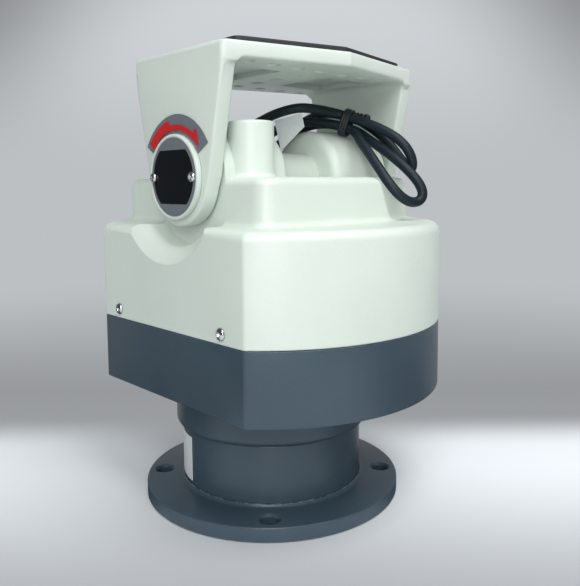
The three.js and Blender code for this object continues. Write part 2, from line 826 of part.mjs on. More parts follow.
// A round housing along X with a rounded inner end.
function housing(outerEnd, length, towards) {
  const innerEnd = outerEnd + towards * length;
  const bevelStart = innerEnd - towards * housingRound;
  const reach = [Math.min(outerEnd, bevelStart), Math.max(outerEnd, bevelStart)];
  let solid = barX(housingRadius, reach[0], reach[1], midSides, 0, tiltHeight);
  for (let i = 0; i < roundSteps; i += 1) {
    const from = quarterTurn * i / roundSteps;
    const to = quarterTurn * (i + 1) / roundSteps;
    const radii = [from, to].map((turn) => housingRadius - housingRound * (1 - Math.cos(turn)));
    const places = [from, to].map((turn) => bevelStart + towards * housingRound * Math.sin(turn));
    const geometry = new THREE.CylinderGeometry(
      towards > 0 ? radii[1] : radii[0], towards > 0 ? radii[0] : radii[1],
      Math.abs(places[1] - places[0]), midSides);
    geometry.rotateZ(-quarterTurn);
    geometry.translate((places[0] + places[1]) / 2, 0, tiltHeight);
    solid = solid.add(toSolid(geometry));
  }
  return solid;
}

// Cover: one hollow casting with the shoulder, the raised deck, the two tilt housings and the worm boss.
function makeCover() {
  const leftInner = -deckLeft + leftHousingLength;
  const rightInner = deckRight - rightHousingLength;
  const lower = domed(bodyOutline, coverLow, shoulderHeight, shoulderRound);
  const upper = domed(deckOutline, shoulderHeight - shoulderRound, deckHeight, deckRound);
  const boss = turned([
    [0, bossLow],
    [bossBore + bossSkirt, bossLow],
    [bossBore + bossSkirt, deckHeight - castWall / 2],
    [bossRadius, deckHeight - castWall / 2],
    [bossRadius, bossTop - bossRound],
    [bossRadius - bossRound, bossTop],
    [0, bossTop],
  ], midSides).translate(wheelX, wormY, 0);
  const outside = lower.add(upper)
    .subtract(dish(-1))
    .subtract(dish(1))
    .add(housing(-deckLeft, leftHousingLength, 1))
    .add(housing(deckRight, rightHousingLength, -1))
    .add(barX(linkRadius, leftInner - housingRound, rightInner + housingRound, midSides, 0, tiltHeight));

  // The dishes keep a wall behind them, so the hollow stays clear of their rims.
  const dishWall = dishRadius + castWall;
  const dishKeepLeft = barX(
    dishWall + dishFlare / 2, -bodyLeft - overrun, -deckLeft + castWall, wideSides, 0, tiltHeight);
  const dishKeepRight = barX(
    dishWall + dishFlare / 2, deckRight - castWall, bodyRight + overrun, wideSides, 0, tiltHeight);
  const lowerHollow = toSolid(prism(bodyOutline(castWall), coverLow - overrun, shoulderHeight - castWall));
  const upperHollow = toSolid(prism(
    deckOutline(castWall, deckHeight), coverLow, deckHeight - castWall));
  const hollow = lowerHollow.add(upperHollow).subtract(dishKeepLeft).subtract(dishKeepRight);
  const hollowRadius = housingRadius - housingWall;
  const housings = barX(
    hollowRadius, -deckLeft + housingEnd, leftInner - housingWall, midSides, 0, tiltHeight).add(barX(
    hollowRadius, rightInner + housingWall, deckRight - housingEnd, midSides, 0, tiltHeight));
  const shaftWay = barX(linkBore, leftInner - overrun, rightInner + overrun, smallSides, 0, tiltHeight);
  const pockets = barX(
    tiltBearingRadius + seatGap, -deckLeft - overrun, -deckLeft + tiltBearingWidth + seatGap * 2, midSides,
    0, tiltHeight).add(barX(
    tiltBearingRadius + seatGap, deckRight - tiltBearingWidth - seatGap * 2, deckRight + overrun, midSides,
    0, tiltHeight));
  const lips = barX(
    tiltBearingLip, -deckLeft, -deckLeft + housingEnd + overrun, smallSides, 0, tiltHeight).add(barX(
    tiltBearingLip, deckRight - housingEnd - overrun, deckRight, smallSides, 0, tiltHeight));
  const wheelSlot = barX(
    wheelPitch + gearModule + wheelRoom, wheelX - wheelHubWidth / 2 - wheelRoom,
    wheelX + wheelHubWidth / 2 + wheelRoom, midSides, 0, tiltHeight);
  const wormWay = barZ(bossBore, bossLow - overrun, bossTop - castWall, smallSides, wheelX, wormY);
  const [glandX, glandY] = leadRoute[0];
  const glandHole = barZ(
    glandTailRadius + seatGap, deckHeight - castWall - overrun, deckHeight + overrun, smallSides,
    glandX, glandY);

  const shell = outside.subtract(hollow)
    .add(boss)
    .subtract(housings)
    .subtract(shaftWay)
    .subtract(pockets)
    .subtract(lips)
    .subtract(wheelSlot)
    .subtract(wormWay)
    .subtract(glandHole)
    .subtract(coverScrewHoles(coverScrewRadius + seatGap));
  addPiece(head, "cover_shell", shell, palePaint);
}

// The plate on the skirt's posts, with the pan motor, the control board and its standoffs on it.
function makeChassis() {
  const motorX = gearCentres * Math.cos(panMotorTurn);
  const motorY = gearCentres * Math.sin(panMotorTurn);
  const plate = toSolid(prism(bodyOutline(plateInset), plateLow, plateTop))
    .subtract(barZ(plateHoleRadius, plateLow - overrun, plateTop + overrun, midSides))
    .subtract(barZ(
      motorPilotRadius + seatGap, plateLow - overrun, plateTop + overrun, smallSides, motorX, motorY));
  addPiece(head, "gear_plate", plate, steel);

  const motorLow = plateTop + seatGap;
  const motorTop = motorLow + panMotorLength;
  const motor = barZ(panMotorRadius, motorLow, motorTop, smallSides)
    .add(barZ(motorPilotRadius, motorLow - motorPilotHeight, motorLow + castWall, smallSides))
    .add(barZ(panMotorTailRadius, motorTop - castWall, motorTop + panMotorTailLength, smallSides))
    .subtract(barZ(pinionShaftRadius + seatGap, plateLow - overrun,
      gearTop + motorPilotHeight + pinionShaftLength + seatGap, tinySides));
  addPiece(head, "pan_motor", motor, motorGrey).position.set(motorX, motorY, 0);

  const boardLow = plateTop + seatGap + standoffHeight + seatGap;
  [[-1, -1], [1, -1], [1, 1], [-1, 1]].forEach(([sideX, sideY], i) => {
    const post = barZ(standoffRadius, plateTop + seatGap, boardLow - seatGap, tinySides);
    addPiece(head, `board_standoff_${i + 1}`, post, brass).position.set(
      boardCentre + sideX * (boardLength / 2 - standoffInset),
      -boardForward + sideY * (boardWidth / 2 - standoffInset), 0);
  });
  let board = block(
    -boardLength / 2, boardLength / 2, -boardWidth / 2, boardWidth / 2, boardLow, boardLow + boardThickness);
  chipPlaceShares.forEach((share, i) => {
    const halfLength = boardLength * chipLengthShares[i] / 2;
    const halfWidth = boardWidth * chipWidthShare / 2;
    board = board.add(block(
      boardLength * share - halfLength, boardLength * share + halfLength, -halfWidth, halfWidth,
      boardLow, boardLow + boardThickness + chipHeight));
  });
  addPiece(head, "control_board", board, boardGreen).position.set(boardCentre, -boardForward, 0);
}

// Tilt bearings in the housings, worm bearings in the boss and the tilt motor under it.
function makeTiltDrive() {
  const ring = (inner, outer, width, sides) => turned(
    [[inner, 0], [outer, 0], [outer, width], [inner, width]], sides);
  const tiltRing = toGeometry(ring(tiltShaftRadius + seatGap, tiltBearingRadius, tiltBearingWidth, midSides));
  tiltRing.applyMatrix4(alongX);
  const places = [["left", -deckLeft + seatGap], ["right", deckRight - seatGap - tiltBearingWidth]];
  for (const [side, place] of places) {
    addPiece(head, `tilt_bearing_${side}`, tiltRing.clone(), brightSteel).position.set(place, 0, tiltHeight);
  }
  const wormRing = ring(wormShaftRadius + seatGap, bossBore - seatGap, wormBearingWidth, smallSides);
  const upper = bossTop - castWall - seatGap - wormBearingWidth;
  const heights = [["upper", upper], ["lower", bossLow + seatGap]];
  for (const [place, height] of heights) {
    addPiece(head, `worm_bearing_${place}`, wormRing, brightSteel).position.set(wheelX, wormY, height);
  }
  const motorTop = bossLow - seatGap;
  const motorLow = motorTop - tiltMotorLength;
  const motor = barZ(tiltMotorRadius, motorLow, motorTop, smallSides)
    .add(barZ(tiltMotorTailRadius, motorLow - tiltMotorTailLength, motorLow + castWall, smallSides))
    .subtract(barZ(
      wormShaftRadius + seatGap, motorTop - motorShaftDepth - seatGap, motorTop + overrun, smallSides));
  addPiece(head, "tilt_motor", motor, motorGrey).position.set(wheelX, wormY, 0);
}

// The worm: a screw thread wound round a core, centred on the worm wheel's height.
function makeWorm() {
  const lead = halfTurn * gearModule;
  const root = wormPitchRadius - gearModule * dedendumShare;
  const tip = wormPitchRadius + gearModule * addendumShare;
  const turns = wormLength / lead;
  const steps = Math.round(turns * wormTurnSteps);
  const positions = [];
  const faces = [];
  for (let i = 0; i <= steps; i += 1) {
    const share = i / steps - 1 / 2;
    const turn = quarterTurn + fullTurn * turns * share;
    const height = tiltHeight + lead * turns * share;
    const corners = [
      [root - wormBite, -wormToothRootShare], [tip, -wormToothTipShare],
      [tip, wormToothTipShare], [root - wormBite, wormToothRootShare],
    ];
    for (const [radius, widthShare] of corners) {
      positions.push(radius * Math.cos(turn), radius * Math.sin(turn), height + lead * widthShare / 2);
    }
  }
  const ring = 4;
  for (let i = 0; i < steps; i += 1) {
    for (let j = 0; j < ring; j += 1) {
      const [a, b] = [i * ring + j, i * ring + (j + 1) % ring];
      faces.push(a, a + ring, b, b, a + ring, b + ring);
    }
  }
  const last = steps * ring;
  faces.push(0, 1, 2, 0, 2, 3, last, last + 2, last + 1, last, last + 3, last + 2);
  const thread = new wasm.Manifold(new wasm.Mesh({
    numProp: 3,
    vertProperties: Float32Array.from(positions),
    triVerts: Uint32Array.from(faces),
  }));
  const core = barZ(root, wormLow - lead, wormLow + wormLength + lead, smallSides);
  const shaft = barZ(
    wormShaftRadius, bossLow - seatGap - motorShaftDepth, bossTop - castWall - seatGap * 2, smallSides);
  addPiece(part, "tilt_worm", thread.add(core).add(shaft), steel).position.set(wheelX, wormY, 0);
}

// Tilt shaft and worm wheel, in the yoke's own frame.
function makeShaft() {
  const reach = yokeHalfWidth - seatGap;
  const shaft = barX(tiltShaftRadius, -reach, reach, smallSides).subtract(
    barX(tiltShaftBore, -reach - overrun, reach + overrun, tinySides));
  addPiece(yoke, "tilt_shaft", shaft, steel);
  const gap = -quarterTurn + halfTurn / wheelTeeth;
  const wheel = toSolid(prism(gearOutline(wheelTeeth, wheelPitch, gap), -wheelWidth / 2, wheelWidth / 2))
    .add(barZ(wheelHubRadius, -wheelHubWidth / 2, wheelHubWidth / 2, smallSides))
    .subtract(barZ(tiltShaftRadius + seatGap, -wheelHubWidth, wheelHubWidth, smallSides));
  const geometry = toGeometry(wheel);
  geometry.applyMatrix4(alongX);
  addPiece(yoke, "worm_wheel", geometry, brass).position.set(wheelX - yokeOffset, 0, 0);
}

// The plan of the yoke's plate, drawn in by an inset: its front and its rear each come to a low point.
function plateOutline(inset, corner) {
  const width = yokeHalfWidth - inset;
  const depth = yokeHalfDepth - inset;
  const apex = yokeApex - inset;
  return roundedOutline([
    [-width, -depth, corner], [0, -apex, 0], [width, -depth, corner],
    [width, depth, corner], [0, apex, 0], [-width, depth, corner],
  ]);
}

// The holes that go right through the plate and the pad: two long rows and a short one between them.
function plateHoles(low, high) {
  const places = midHoles.map((y) => [0, y]);
  for (const y of [-frontHoleRow, rearHoleRow]) {
    for (let i = 0; i < rowHoleCount; i += 1) {
      places.push([(i - (rowHoleCount - 1) / 2) * plateHolePitch, y]);
    }
  }
  let holes = null;
  for (const [x, y] of places) {
    const hole = barZ(mountHoleRadius, low - overrun, high + overrun, tinySides, x, y);
    holes = holes ? holes.add(hole) : hole;
  }
  return holes;
}

// Yoke: the camera plate and its two arms in one casting, in its own frame on the tilt axis.
function makeYoke() {
  const plateUnder = yokeRise - yokePlate;
  const armTop = yokeRise - yokeArmTop;
  const bottom = -yokeEndRadius - overrun;
  const profile = roundedOutline([
    [-yokeHalfWidth, bottom, 0], [-yokeInner, bottom, 0],
    [-yokeInner, plateUnder, yokeInnerCorner], [yokeInner, plateUnder, yokeInnerCorner],
    [yokeInner, bottom, 0], [yokeHalfWidth, bottom, 0],
    [yokeHalfWidth, yokeRise, yokeCorner], [-yokeHalfWidth, yokeRise, yokeCorner],
  ]);
  const bridge = prism(profile, -yokeApex - overrun, yokeApex + overrun);
  bridge.applyMatrix4(new THREE.Matrix4().makeBasis(
    new THREE.Vector3(1, 0, 0),
    new THREE.Vector3(0, 0, 1),
    new THREE.Vector3(0, -1, 0),
  ));
  const side = [];
  const reach = yokeApex + overrun;
  side.push([-reach, yokeRise + overrun], [-reach, armTop], [-yokeHalfDepth, armTop], [-yokeWaist, 0]);
  const lean = Math.atan2(yokeHalfDepth - yokeWaist, armTop);
  for (let i = 0; i <= smallSides; i += 1) {
    const turn = halfTurn + lean + (halfTurn - lean * 2) * i / smallSides;
    side.push([yokeEndRadius * Math.cos(turn), yokeEndRadius * Math.sin(turn)]);
  }
  side.push([yokeWaist, 0], [yokeHalfDepth, armTop], [reach, armTop], [reach, yokeRise + overrun]);
  const envelope = prism(new THREE.Shape(side.map(([y, z]) => new THREE.Vector2(y, z))),
    -yokeHalfWidth - overrun, yokeHalfWidth + overrun);
  envelope.applyMatrix4(alongX);
  const plan = toSolid(prism(plateOutline(0, yokeCorner), bottom - overrun, yokeRise + overrun));
  const pockets = block(
    pocketNear, pocketFar, -pocketHalfWidth, pocketHalfWidth, plateUnder - overrun, plateUnder + pocketDepth)
    .add(block(
      -pocketFar, -pocketNear, -pocketHalfWidth, pocketHalfWidth, plateUnder - overrun,
      plateUnder + pocketDepth));
  const bores = barX(
    tiltShaftRadius + seatGap, -yokeHalfWidth - overrun, yokeHalfWidth + overrun, smallSides);
  let screwBores = null;
  for (const y of [-capScrewOffset, capScrewOffset]) {
    const bore = barX(
      capScrewRadius + seatGap, -yokeHalfWidth - overrun, yokeHalfWidth + overrun, tinySides, y, 0);
    screwBores = screwBores ? screwBores.add(bore) : bore;
  }
  const solid = toSolid(bridge).intersect(toSolid(envelope)).intersect(plan)
    .subtract(pockets)
    .subtract(plateHoles(plateUnder, yokeRise))
    .subtract(bores)
    .subtract(screwBores);
  addPiece(yoke, "yoke_bracket", solid, palePaint);

  const padLow = yokeRise + seatGap;
  const pad = toSolid(prism(plateOutline(padInset, padCorner), padLow, padLow + padThickness))
    .subtract(plateHoles(padLow, padLow + padThickness));
  addPiece(yoke, "rubber_pad", pad, blackRubber);
}

// Turns a piece that was made on +X round to the left arm.
function placeOnSide(mesh, side, distance) {
  mesh.position.x = side * distance;
  if (side < 0) mesh.rotation.z = halfTurn;
}

// The round cover, film and screws over each end of the tilt shaft.
function makePivotCovers() {
  const holes = (low, high) => barZ(capScrewRadius + seatGap, low, high, tinySides, -capScrewOffset, 0)
    .add(barZ(capScrewRadius + seatGap, low, high, tinySides, capScrewOffset, 0));
  const cap = turned([
    [0, 0], [capRadius, 0], [capRadius, capThickness - capEdge], [capRadius - capEdge, capThickness],
    [0, capThickness],
  ], midSides).subtract(holes(-overrun, overrun));
  const film = barZ(filmRadius, 0, filmThickness, midSides).subtract(holes(-overrun, overrun));
  const capFace = yokeHalfWidth + seatGap;
  const filmFace = capFace + capThickness + seatGap;
  const screwFace = filmFace + filmThickness + seatGap;
  const reach = screwFace - yokeHalfWidth + capScrewReach;
  for (const [name, side] of [["left", -1], ["right", 1]]) {
    const pieces = [
      [`pivot_cover_${name}`, cap, palePaint, capFace],
      [`pivot_film_${name}`, film, blackFilm, filmFace],
    ];
    for (const [title, solid, material, distance] of pieces) {
      const geometry = toGeometry(solid);
      geometry.applyMatrix4(alongX);
      placeOnSide(addPiece(yoke, title, geometry, material), side, distance);
    }
    [["front", -capScrewOffset], ["rear", capScrewOffset]].forEach(([place, y]) => {
      const geometry = toGeometry(screw(capScrewRadius, capScrewHeadRadius, capScrewHeadHeight, reach));
      geometry.applyMatrix4(alongX);
      const mesh = addPiece(yoke, `cap_screw_${name}_${place}`, geometry, brightSteel);
      placeOnSide(mesh, side, screwFace);
      mesh.position.y = y;
    });
  }
}

// A flat band round the tilt axis: turns are measured from straight up towards +Y.
function band(points, thickness) {
  const outline = points.map(([radius, turn]) => new THREE.Vector2(
    radius * Math.sin(turn), radius * Math.cos(turn)));
  const geometry = prism(new THREE.Shape(outline), 0, thickness);
  geometry.applyMatrix4(alongX);
  return geometry;
}

// The grey band and the red turning arrow over the left pivot cover.
function makeMarks() {
  const sweep = (radius, from, to, steps) => {
    const points = [];
    for (let i = 0; i <= steps; i += 1) points.push([radius, from + (to - from) * i / steps]);
    return points;
  };
  const grey = [
    ...sweep(decalOuter, -decalHalfTurn, decalHalfTurn, decalSteps),
    ...sweep(decalInner, decalHalfTurn, -decalHalfTurn, decalSteps),
  ];
  const greyFace = -yokeHalfWidth - seatGap - decalThickness;
  addPiece(yoke, "tilt_mark_band", band(grey, decalThickness), greyFilm).position.x = greyFace;
  const middle = (arrowInner + arrowOuter) / 2;
  const red = [
    ...sweep(arrowOuter, arrowNeckTurn, arrowTailTurn, decalSteps / 2),
    ...sweep(arrowInner, arrowTailTurn, arrowNeckTurn, decalSteps / 2),
    [arrowInner - arrowBarb, arrowNeckTurn],
    [middle, arrowTipTurn],
    [arrowOuter + arrowBarb, arrowNeckTurn],
  ];
  const redFace = greyFace - seatGap - arrowThickness;
  addPiece(yoke, "tilt_mark_arrow", band(red, arrowThickness), redFilm).position.x = redFace;
}

// The tie's own directions: across the strands, over them and back along them.
const tieSide = new THREE.Vector3().crossVectors(tieHeading, new THREE.Vector3(0, 0, 1)).normalize();
const tieOver = new THREE.Vector3().crossVectors(tieSide, tieHeading).normalize();
const tieBack = tieHeading.clone().negate();
const strandPitch = cordRadius * 2 + strandGap;

// A place in one of the tie's four strands, some way along it.
function strandPlace([side, over], along) {
  return tiePlace.clone()
    .addScaledVector(tieSide, side * strandPitch / 2)
    .addScaledVector(tieOver, over * strandPitch / 2)
    .addScaledVector(tieHeading, along);
}

// One loop of the hank: out of the tie round a bend to its tip, and back into the tie.
function loopPlaces({ exit, back, bend, tip, spread, width, neckShare }, ahead) {
  const start = tiePlace.clone().addScaledVector(tieHeading, ahead * cordRadius * 2);
  const across = new THREE.Vector3(...spread).normalize();
  const places = [];
  for (let i = 0; i <= loopSteps; i += 1) {
    const share = i / loopSteps;
    const out = Math.sin(halfTurn * share);
    const strand = strandPlace(share < 1 / 2 ? exit : back, 0).sub(tiePlace);
    places.push(start.clone().multiplyScalar((1 - out) ** 2)
      .addScaledVector(new THREE.Vector3(...bend), 2 * out * (1 - out))
      .addScaledVector(new THREE.Vector3(...tip), out ** 2)
      .addScaledVector(strand, 1 - out ** 4)
      .addScaledVector(across, width * (neckShare + (1 - neckShare) * out) * Math.sin(fullTurn * share)));
  }
  return places;
}

// The hank's whole route: three loops drawn through the tie, then the tail to the plug.
function hankPlaces() {
  const places = [strandPlace(hankLoops[0].exit, seatGap / 2)];
  hankLoops.forEach((loop, i) => places.push(...loopPlaces(loop, i % 2 === 0 ? 1 : -1)));
  const last = hankLoops[hankLoops.length - 1].back;
  const tail = new THREE.CatmullRomCurve3([
    strandPlace(last, -cordRadius * 2), ...tailRoute.map((place) => new THREE.Vector3(...place)),
  ], false, "centripetal");
  places.push(...tail.getPoints(tailSteps));
  return places;
}

// The lead's route: up out of the gland and over to the tie.
function leadPlaces() {
  const curve = new THREE.CatmullRomCurve3([
    ...leadRoute.map((place) => new THREE.Vector3(...place)), strandPlace([1, 1], -cordRadius * 2),
  ], false, "centripetal");
  return [...curve.getPoints(leadSteps), strandPlace([1, 1], -seatGap / 2)];
}

// A round cord through places, as one closed tube.
function cord(places, sides) {
  const positions = [];
  const faces = [];
  const count = places.length;
  const tangents = places.map((place, i) => places[Math.min(i + 1, count - 1)].clone()
    .sub(places[Math.max(i - 1, 0)]).normalize());
  const normal = new THREE.Vector3(1, 0, 0).cross(tangents[0]).normalize();
  if (normal.length() === 0) normal.set(0, 1, 0);
  places.forEach((place, i) => {
    normal.addScaledVector(tangents[i], -normal.dot(tangents[i])).normalize();
    const other = new THREE.Vector3().crossVectors(tangents[i], normal);
    for (let j = 0; j < sides; j += 1) {
      const turn = fullTurn * j / sides;
      const point = place.clone()
        .addScaledVector(normal, cordRadius * Math.cos(turn))
        .addScaledVector(other, cordRadius * Math.sin(turn));
      positions.push(point.x, point.y, point.z);
    }
  });
  for (let i = 0; i < count - 1; i += 1) {
    for (let j = 0; j < sides; j += 1) {
      const [a, b] = [i * sides + j, i * sides + (j + 1) % sides];
      faces.push(a, b, b + sides, a, b + sides, a + sides);
    }
  }
  const last = (count - 1) * sides;
  for (let j = 1; j < sides - 1; j += 1) faces.push(0, j + 1, j, last, last + j, last + j + 1);
  const geometry = new THREE.BufferGeometry();
  geometry.setAttribute("position", new THREE.BufferAttribute(Float32Array.from(positions), 3));
  geometry.setIndex(faces);
  geometry.computeVertexNormals();
  return geometry;
}

// The least gap between strands of a route, leaving out places that are next to each other along it.
function leastGap(places) {
  const curve = new THREE.CatmullRomCurve3(places, false, "centripetal");
  const samples = curve.getSpacedPoints(gapSamples);
  const skip = Math.ceil(halfTurn * cordRadius * gapSamples / curve.getLength());
  let least = Infinity;
  for (let i = 0; i < samples.length; i += 1) {
    for (let j = i + skip; j < samples.length; j += 1) {
      least = Math.min(least, samples[i].distanceTo(samples[j]));
    }
  }
  return least - cordRadius * 2;
}

// Cable: the gland on the deck, the lead, the hank, its tie and tag, and the plug on its end.
function makeCable() {
  const [glandX, glandY, leadLow] = leadRoute[0];
  const glandTop = leadLow - seatGap;
  const glandLow = deckHeight + seatGap;
  const gland = barZ(glandBaseRadius, glandLow, glandLow + glandBaseHeight, glandSides)
    .add(barZ(glandNutRadius, glandLow + glandBaseHeight / 2, glandTop, smallSides))
    .add(barZ(glandTailRadius, glandLow - glandTailLength, glandLow + glandBaseHeight / 2, smallSides));
  addPiece(head, "cable_gland", gland, blackRubber).position.set(glandX, glandY, 0);

  const hank = hankPlaces();
  addPiece(head, "cable_lead", cord(leadPlaces(), cordSides), cableRubber);
  addPiece(head, "cable_hank", cord(hank, hankSides), cableRubber);
  console.log(`least gap between the hank's strands: ${leastGap(hank).toFixed(2)} mm`);

  const inner = strandPitch / 2 + cordRadius + seatGap;
  const outer = inner + tieWall;
  const ring = (half, length) => toSolid(prism(roundedOutline([
    [-half, -half, half / 2], [half, -half, half / 2], [half, half, half / 2], [-half, half, half / 2],
  ]), -length / 2, length / 2));
  const tail = barZ(tieTailRadius, -tieTailLength, 0, tinySides).rotate([tieTailLean, 0, 0]).translate(
    0, inner + tieWall / 2, 0);
  const tie = addPiece(head, "cable_tie", ring(outer, tieLength).add(tail).subtract(
    ring(inner, tieLength + overrun)), blackRubber);
  tie.applyMatrix4(new THREE.Matrix4().makeBasis(tieSide, tieOver, tieBack).setPosition(tiePlace));

  const start = new THREE.Vector3(...tagStart);
  const along = new THREE.Vector3(...tagEnd).sub(start);
  const length = along.length();
  const drop = cordRadius + seatGap;
  const outline = new THREE.Shape([
    new THREE.Vector2(0, -drop), new THREE.Vector2(0, -drop - tagLongDrop),
    new THREE.Vector2(length, -drop - tagShortDrop), new THREE.Vector2(length, -drop),
  ]);
  const facing = along.clone().normalize().cross(new THREE.Vector3(0, 0, 1)).normalize();
  const upright = facing.clone().cross(along).normalize();
  const tag = addPiece(head, "cable_tag", prism(outline, 0, tagThickness), whiteFilm);
  tag.applyMatrix4(new THREE.Matrix4().makeBasis(along.normalize(), upright, facing).setPosition(start));

  const [endX, endY, endZ] = tailRoute[tailRoute.length - 1];
  const plug = barX(plugBootRadius, -plugBootLength - seatGap, -seatGap, smallSides).add(barX(
    plugRadius, -plugBootLength - plugLength, -plugBootLength, smallSides));
  addPiece(head, "cable_plug", plug, blackRubber).position.set(endX, endY, endZ);
}

makeBase();
makeSpindle();
makePanBearing();
makePanGears();
makeLabel();
makeSkirt();
makeCover();
makeCoverScrews();
makeChassis();
makeTiltDrive();
makeWorm();
makeShaft();
makeYoke();
makePivotCovers();
makeMarks();
makeCable();

export default part;
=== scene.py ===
# %% [markdown]
# This lesson dresses a motorised pan and tilt head: a cast base, a body that pans on it and a yoke that
# tilts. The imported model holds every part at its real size, so the script loads it as a fixed frame and
# gives each part its finish. Parts whose curved edges matter to the eye are built again here with finer
# curves, in their place.

import json
import math

import bmesh
import bpy
from mathutils import Matrix, Vector


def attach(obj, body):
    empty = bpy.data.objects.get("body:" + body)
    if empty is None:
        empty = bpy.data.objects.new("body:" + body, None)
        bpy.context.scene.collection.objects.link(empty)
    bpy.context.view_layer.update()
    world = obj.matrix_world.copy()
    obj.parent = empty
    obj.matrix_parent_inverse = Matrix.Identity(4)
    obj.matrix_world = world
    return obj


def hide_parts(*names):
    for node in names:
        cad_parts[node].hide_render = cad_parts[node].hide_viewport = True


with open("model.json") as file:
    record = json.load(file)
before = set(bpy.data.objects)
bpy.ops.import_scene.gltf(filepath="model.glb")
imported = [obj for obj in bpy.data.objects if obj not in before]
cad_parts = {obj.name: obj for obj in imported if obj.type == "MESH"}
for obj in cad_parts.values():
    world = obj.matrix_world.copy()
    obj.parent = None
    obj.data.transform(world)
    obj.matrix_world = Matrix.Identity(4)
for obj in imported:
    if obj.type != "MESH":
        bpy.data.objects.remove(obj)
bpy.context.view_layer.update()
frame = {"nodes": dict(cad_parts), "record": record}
mm = 0.001
up = Vector((0, 0, 1))
print("packed model:", len(frame["nodes"]), "nodes")

# %% [markdown]
# The photograph was taken from close by, so the near corner looms and the flange is seen from above. A
# camera is known by a few numbers: how far it turns, looks down and leans, how far away it stands and how
# long its lens is. They were fitted to corners of the real object, and the shift moves the frame without
# bending the lines.

# %% Camera
focal_pixels = 687.6
image_height = 586
principal_row = 250
sensor_size = 36
camera_turn = math.radians(42.7)
camera_dip = math.radians(5.45)
camera_lean = math.radians(-0.44)
camera_distance = 447.8 * mm
camera_sidestep = 12.95 * mm
camera_rise = 198.8 * mm


def add_object(name, data):
    made = bpy.data.objects.new(name, data)
    bpy.context.collection.objects.link(made)
    return made


ahead = Vector((math.sin(camera_turn), math.cos(camera_turn), 0))
aside = Vector((math.cos(camera_turn), -math.sin(camera_turn), 0))
looking = ahead * math.cos(camera_dip) - up * math.sin(camera_dip)
upright = aside.cross(looking)
camera_right = aside * math.cos(camera_lean) + upright * math.sin(camera_lean)
camera_top = upright * math.cos(camera_lean) - aside * math.sin(camera_lean)
camera_place = aside * camera_sidestep - ahead * camera_distance + up * camera_rise

camera_data = bpy.data.cameras.new("camera")
camera_data.sensor_width = sensor_size
camera_data.lens = focal_pixels / image_height * sensor_size
camera_data.shift_y = (principal_row - image_height / 2) / image_height
camera = add_object("camera", camera_data)
camera_axes = Matrix((camera_right, camera_top, -looking)).transposed().to_4x4()
camera.matrix_world = Matrix.Translation(camera_place) @ camera_axes
bpy.context.scene.camera = camera
print("lens:", round(camera_data.lens, 1), "mm")

# %% [markdown]
# A finished piece is a mesh object that sits at the origin, with its place in its mesh. Every piece moves
# with one of the model's bodies, and may stand for nodes of the model, which are then hidden. A few helpers
# do all of this, so that each cell after them can stay about the shape.

# %% From a bmesh to a piece
body_of = {}
for body, nodes in frame["record"]["behaviour"]["bodies"].items():
    for node in nodes:
        body_of[node] = body
slot_of = {entry["node"]: entry["material_slot"] for entry in frame["record"]["subparts"]}
smooth_angle = math.radians(32)
merge_distance = 0.001 * mm


def to_object(name, bm):
    mesh = bpy.data.meshes.new(name)
    bm.to_mesh(mesh)
    bm.free()
    return add_object(name, mesh)


def shown_mesh(piece):
    graph = bpy.context.evaluated_depsgraph_get()
    return bpy.data.meshes.new_from_object(piece.evaluated_get(graph))


def settle(piece):
    mesh = shown_mesh(piece)
    piece.modifiers.clear()
    piece.data = mesh


def shade(piece, angle=smooth_angle):
    piece.data.shade_smooth()
    piece.data.set_sharp_from_angle(angle=angle)


def dress(piece, node, *more_nodes):
    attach(piece, body_of[node])
    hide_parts(node, *more_nodes)
    print(piece.name + ":", len(piece.data.polygons), "faces")


def complete(piece, paint, node, angle=smooth_angle):
    shade(piece, angle)
    piece.data.materials.append(paint)
    dress(piece, node)


# %% [markdown]
# The cable is a fixed length of flexible cord: it rises from a gland on the deck, runs over the housing
# into a tie, makes three loops and ends in a plug. Its route could be drawn by hand, but each loop leaves
# the tie and comes back to it, so a formula carries a loop from one strand's place to another's by way of
# its tip.

# %% Places on the cable
cord_radius = 3.2 * mm
strand_gap = 1.1 * mm
loop_steps = 24
strand_pitch = cord_radius * 2 + strand_gap
tie_place = Vector((0.054, -0.0185, 0.240))
tie_heading = Vector((0.44, -0.84, -0.32)).normalized()
tie_side = tie_heading.cross(up).normalized()
tie_over = tie_side.cross(tie_heading).normalized()
lead_route = [
    (-0.002, 0.045, 0.216), (-0.002, 0.045, 0.2195), (-0.002, 0.045, 0.223), (0.0015, 0.036, 0.2325),
    (0.0085, 0.020, 0.2404), (0.014, 0.008, 0.2456), (0.0225, -0.004, 0.2488), (0.034, -0.010, 0.2482),
]
hank_loops = [
    {"exit": (1, 1), "back": (-1, 1), "bend": (0.0626, -0.0487, 0.2271), "tip": (0.0681, -0.0622, 0.2091),
     "spread": (-0.04, -0.53, 0.82), "width": 0.0056, "neck_share": 0.3},
    {"exit": (-1, 1), "back": (-1, -1), "bend": (0.050, 0.026, 0.252), "tip": (0.044, 0.058, 0.2125),
     "spread": (0.75, 0.5, 0), "width": 0.0085, "neck_share": 0.3},
    {"exit": (-1, -1), "back": (1, -1), "bend": (0.046, -0.071, 0.210), "tip": (0.0625, -0.0725, 0.188),
     "spread": (0.75, -0.3, 0.5), "width": 0.0076, "neck_share": 1},
]
tail_route = [
    (0.035, 0.010, 0.241), (0.026, 0.027, 0.2345), (0.020, 0.039, 0.223), (0.014, 0.050, 0.213),
    (0.008, 0.059, 0.2096), (0.001, 0.063, 0.2096), (-0.003, 0.063, 0.2096), (-0.007, 0.063, 0.2096),
]


def curve_between(start, corner, end, share):
    return start * (1 - share) ** 2 + corner * 2 * share * (1 - share) + end * share ** 2


def strand_place(strand, along):
    side, over = strand
    return (tie_place + tie_side * side * strand_pitch / 2 + tie_over * over * strand_pitch / 2
            + tie_heading * along)


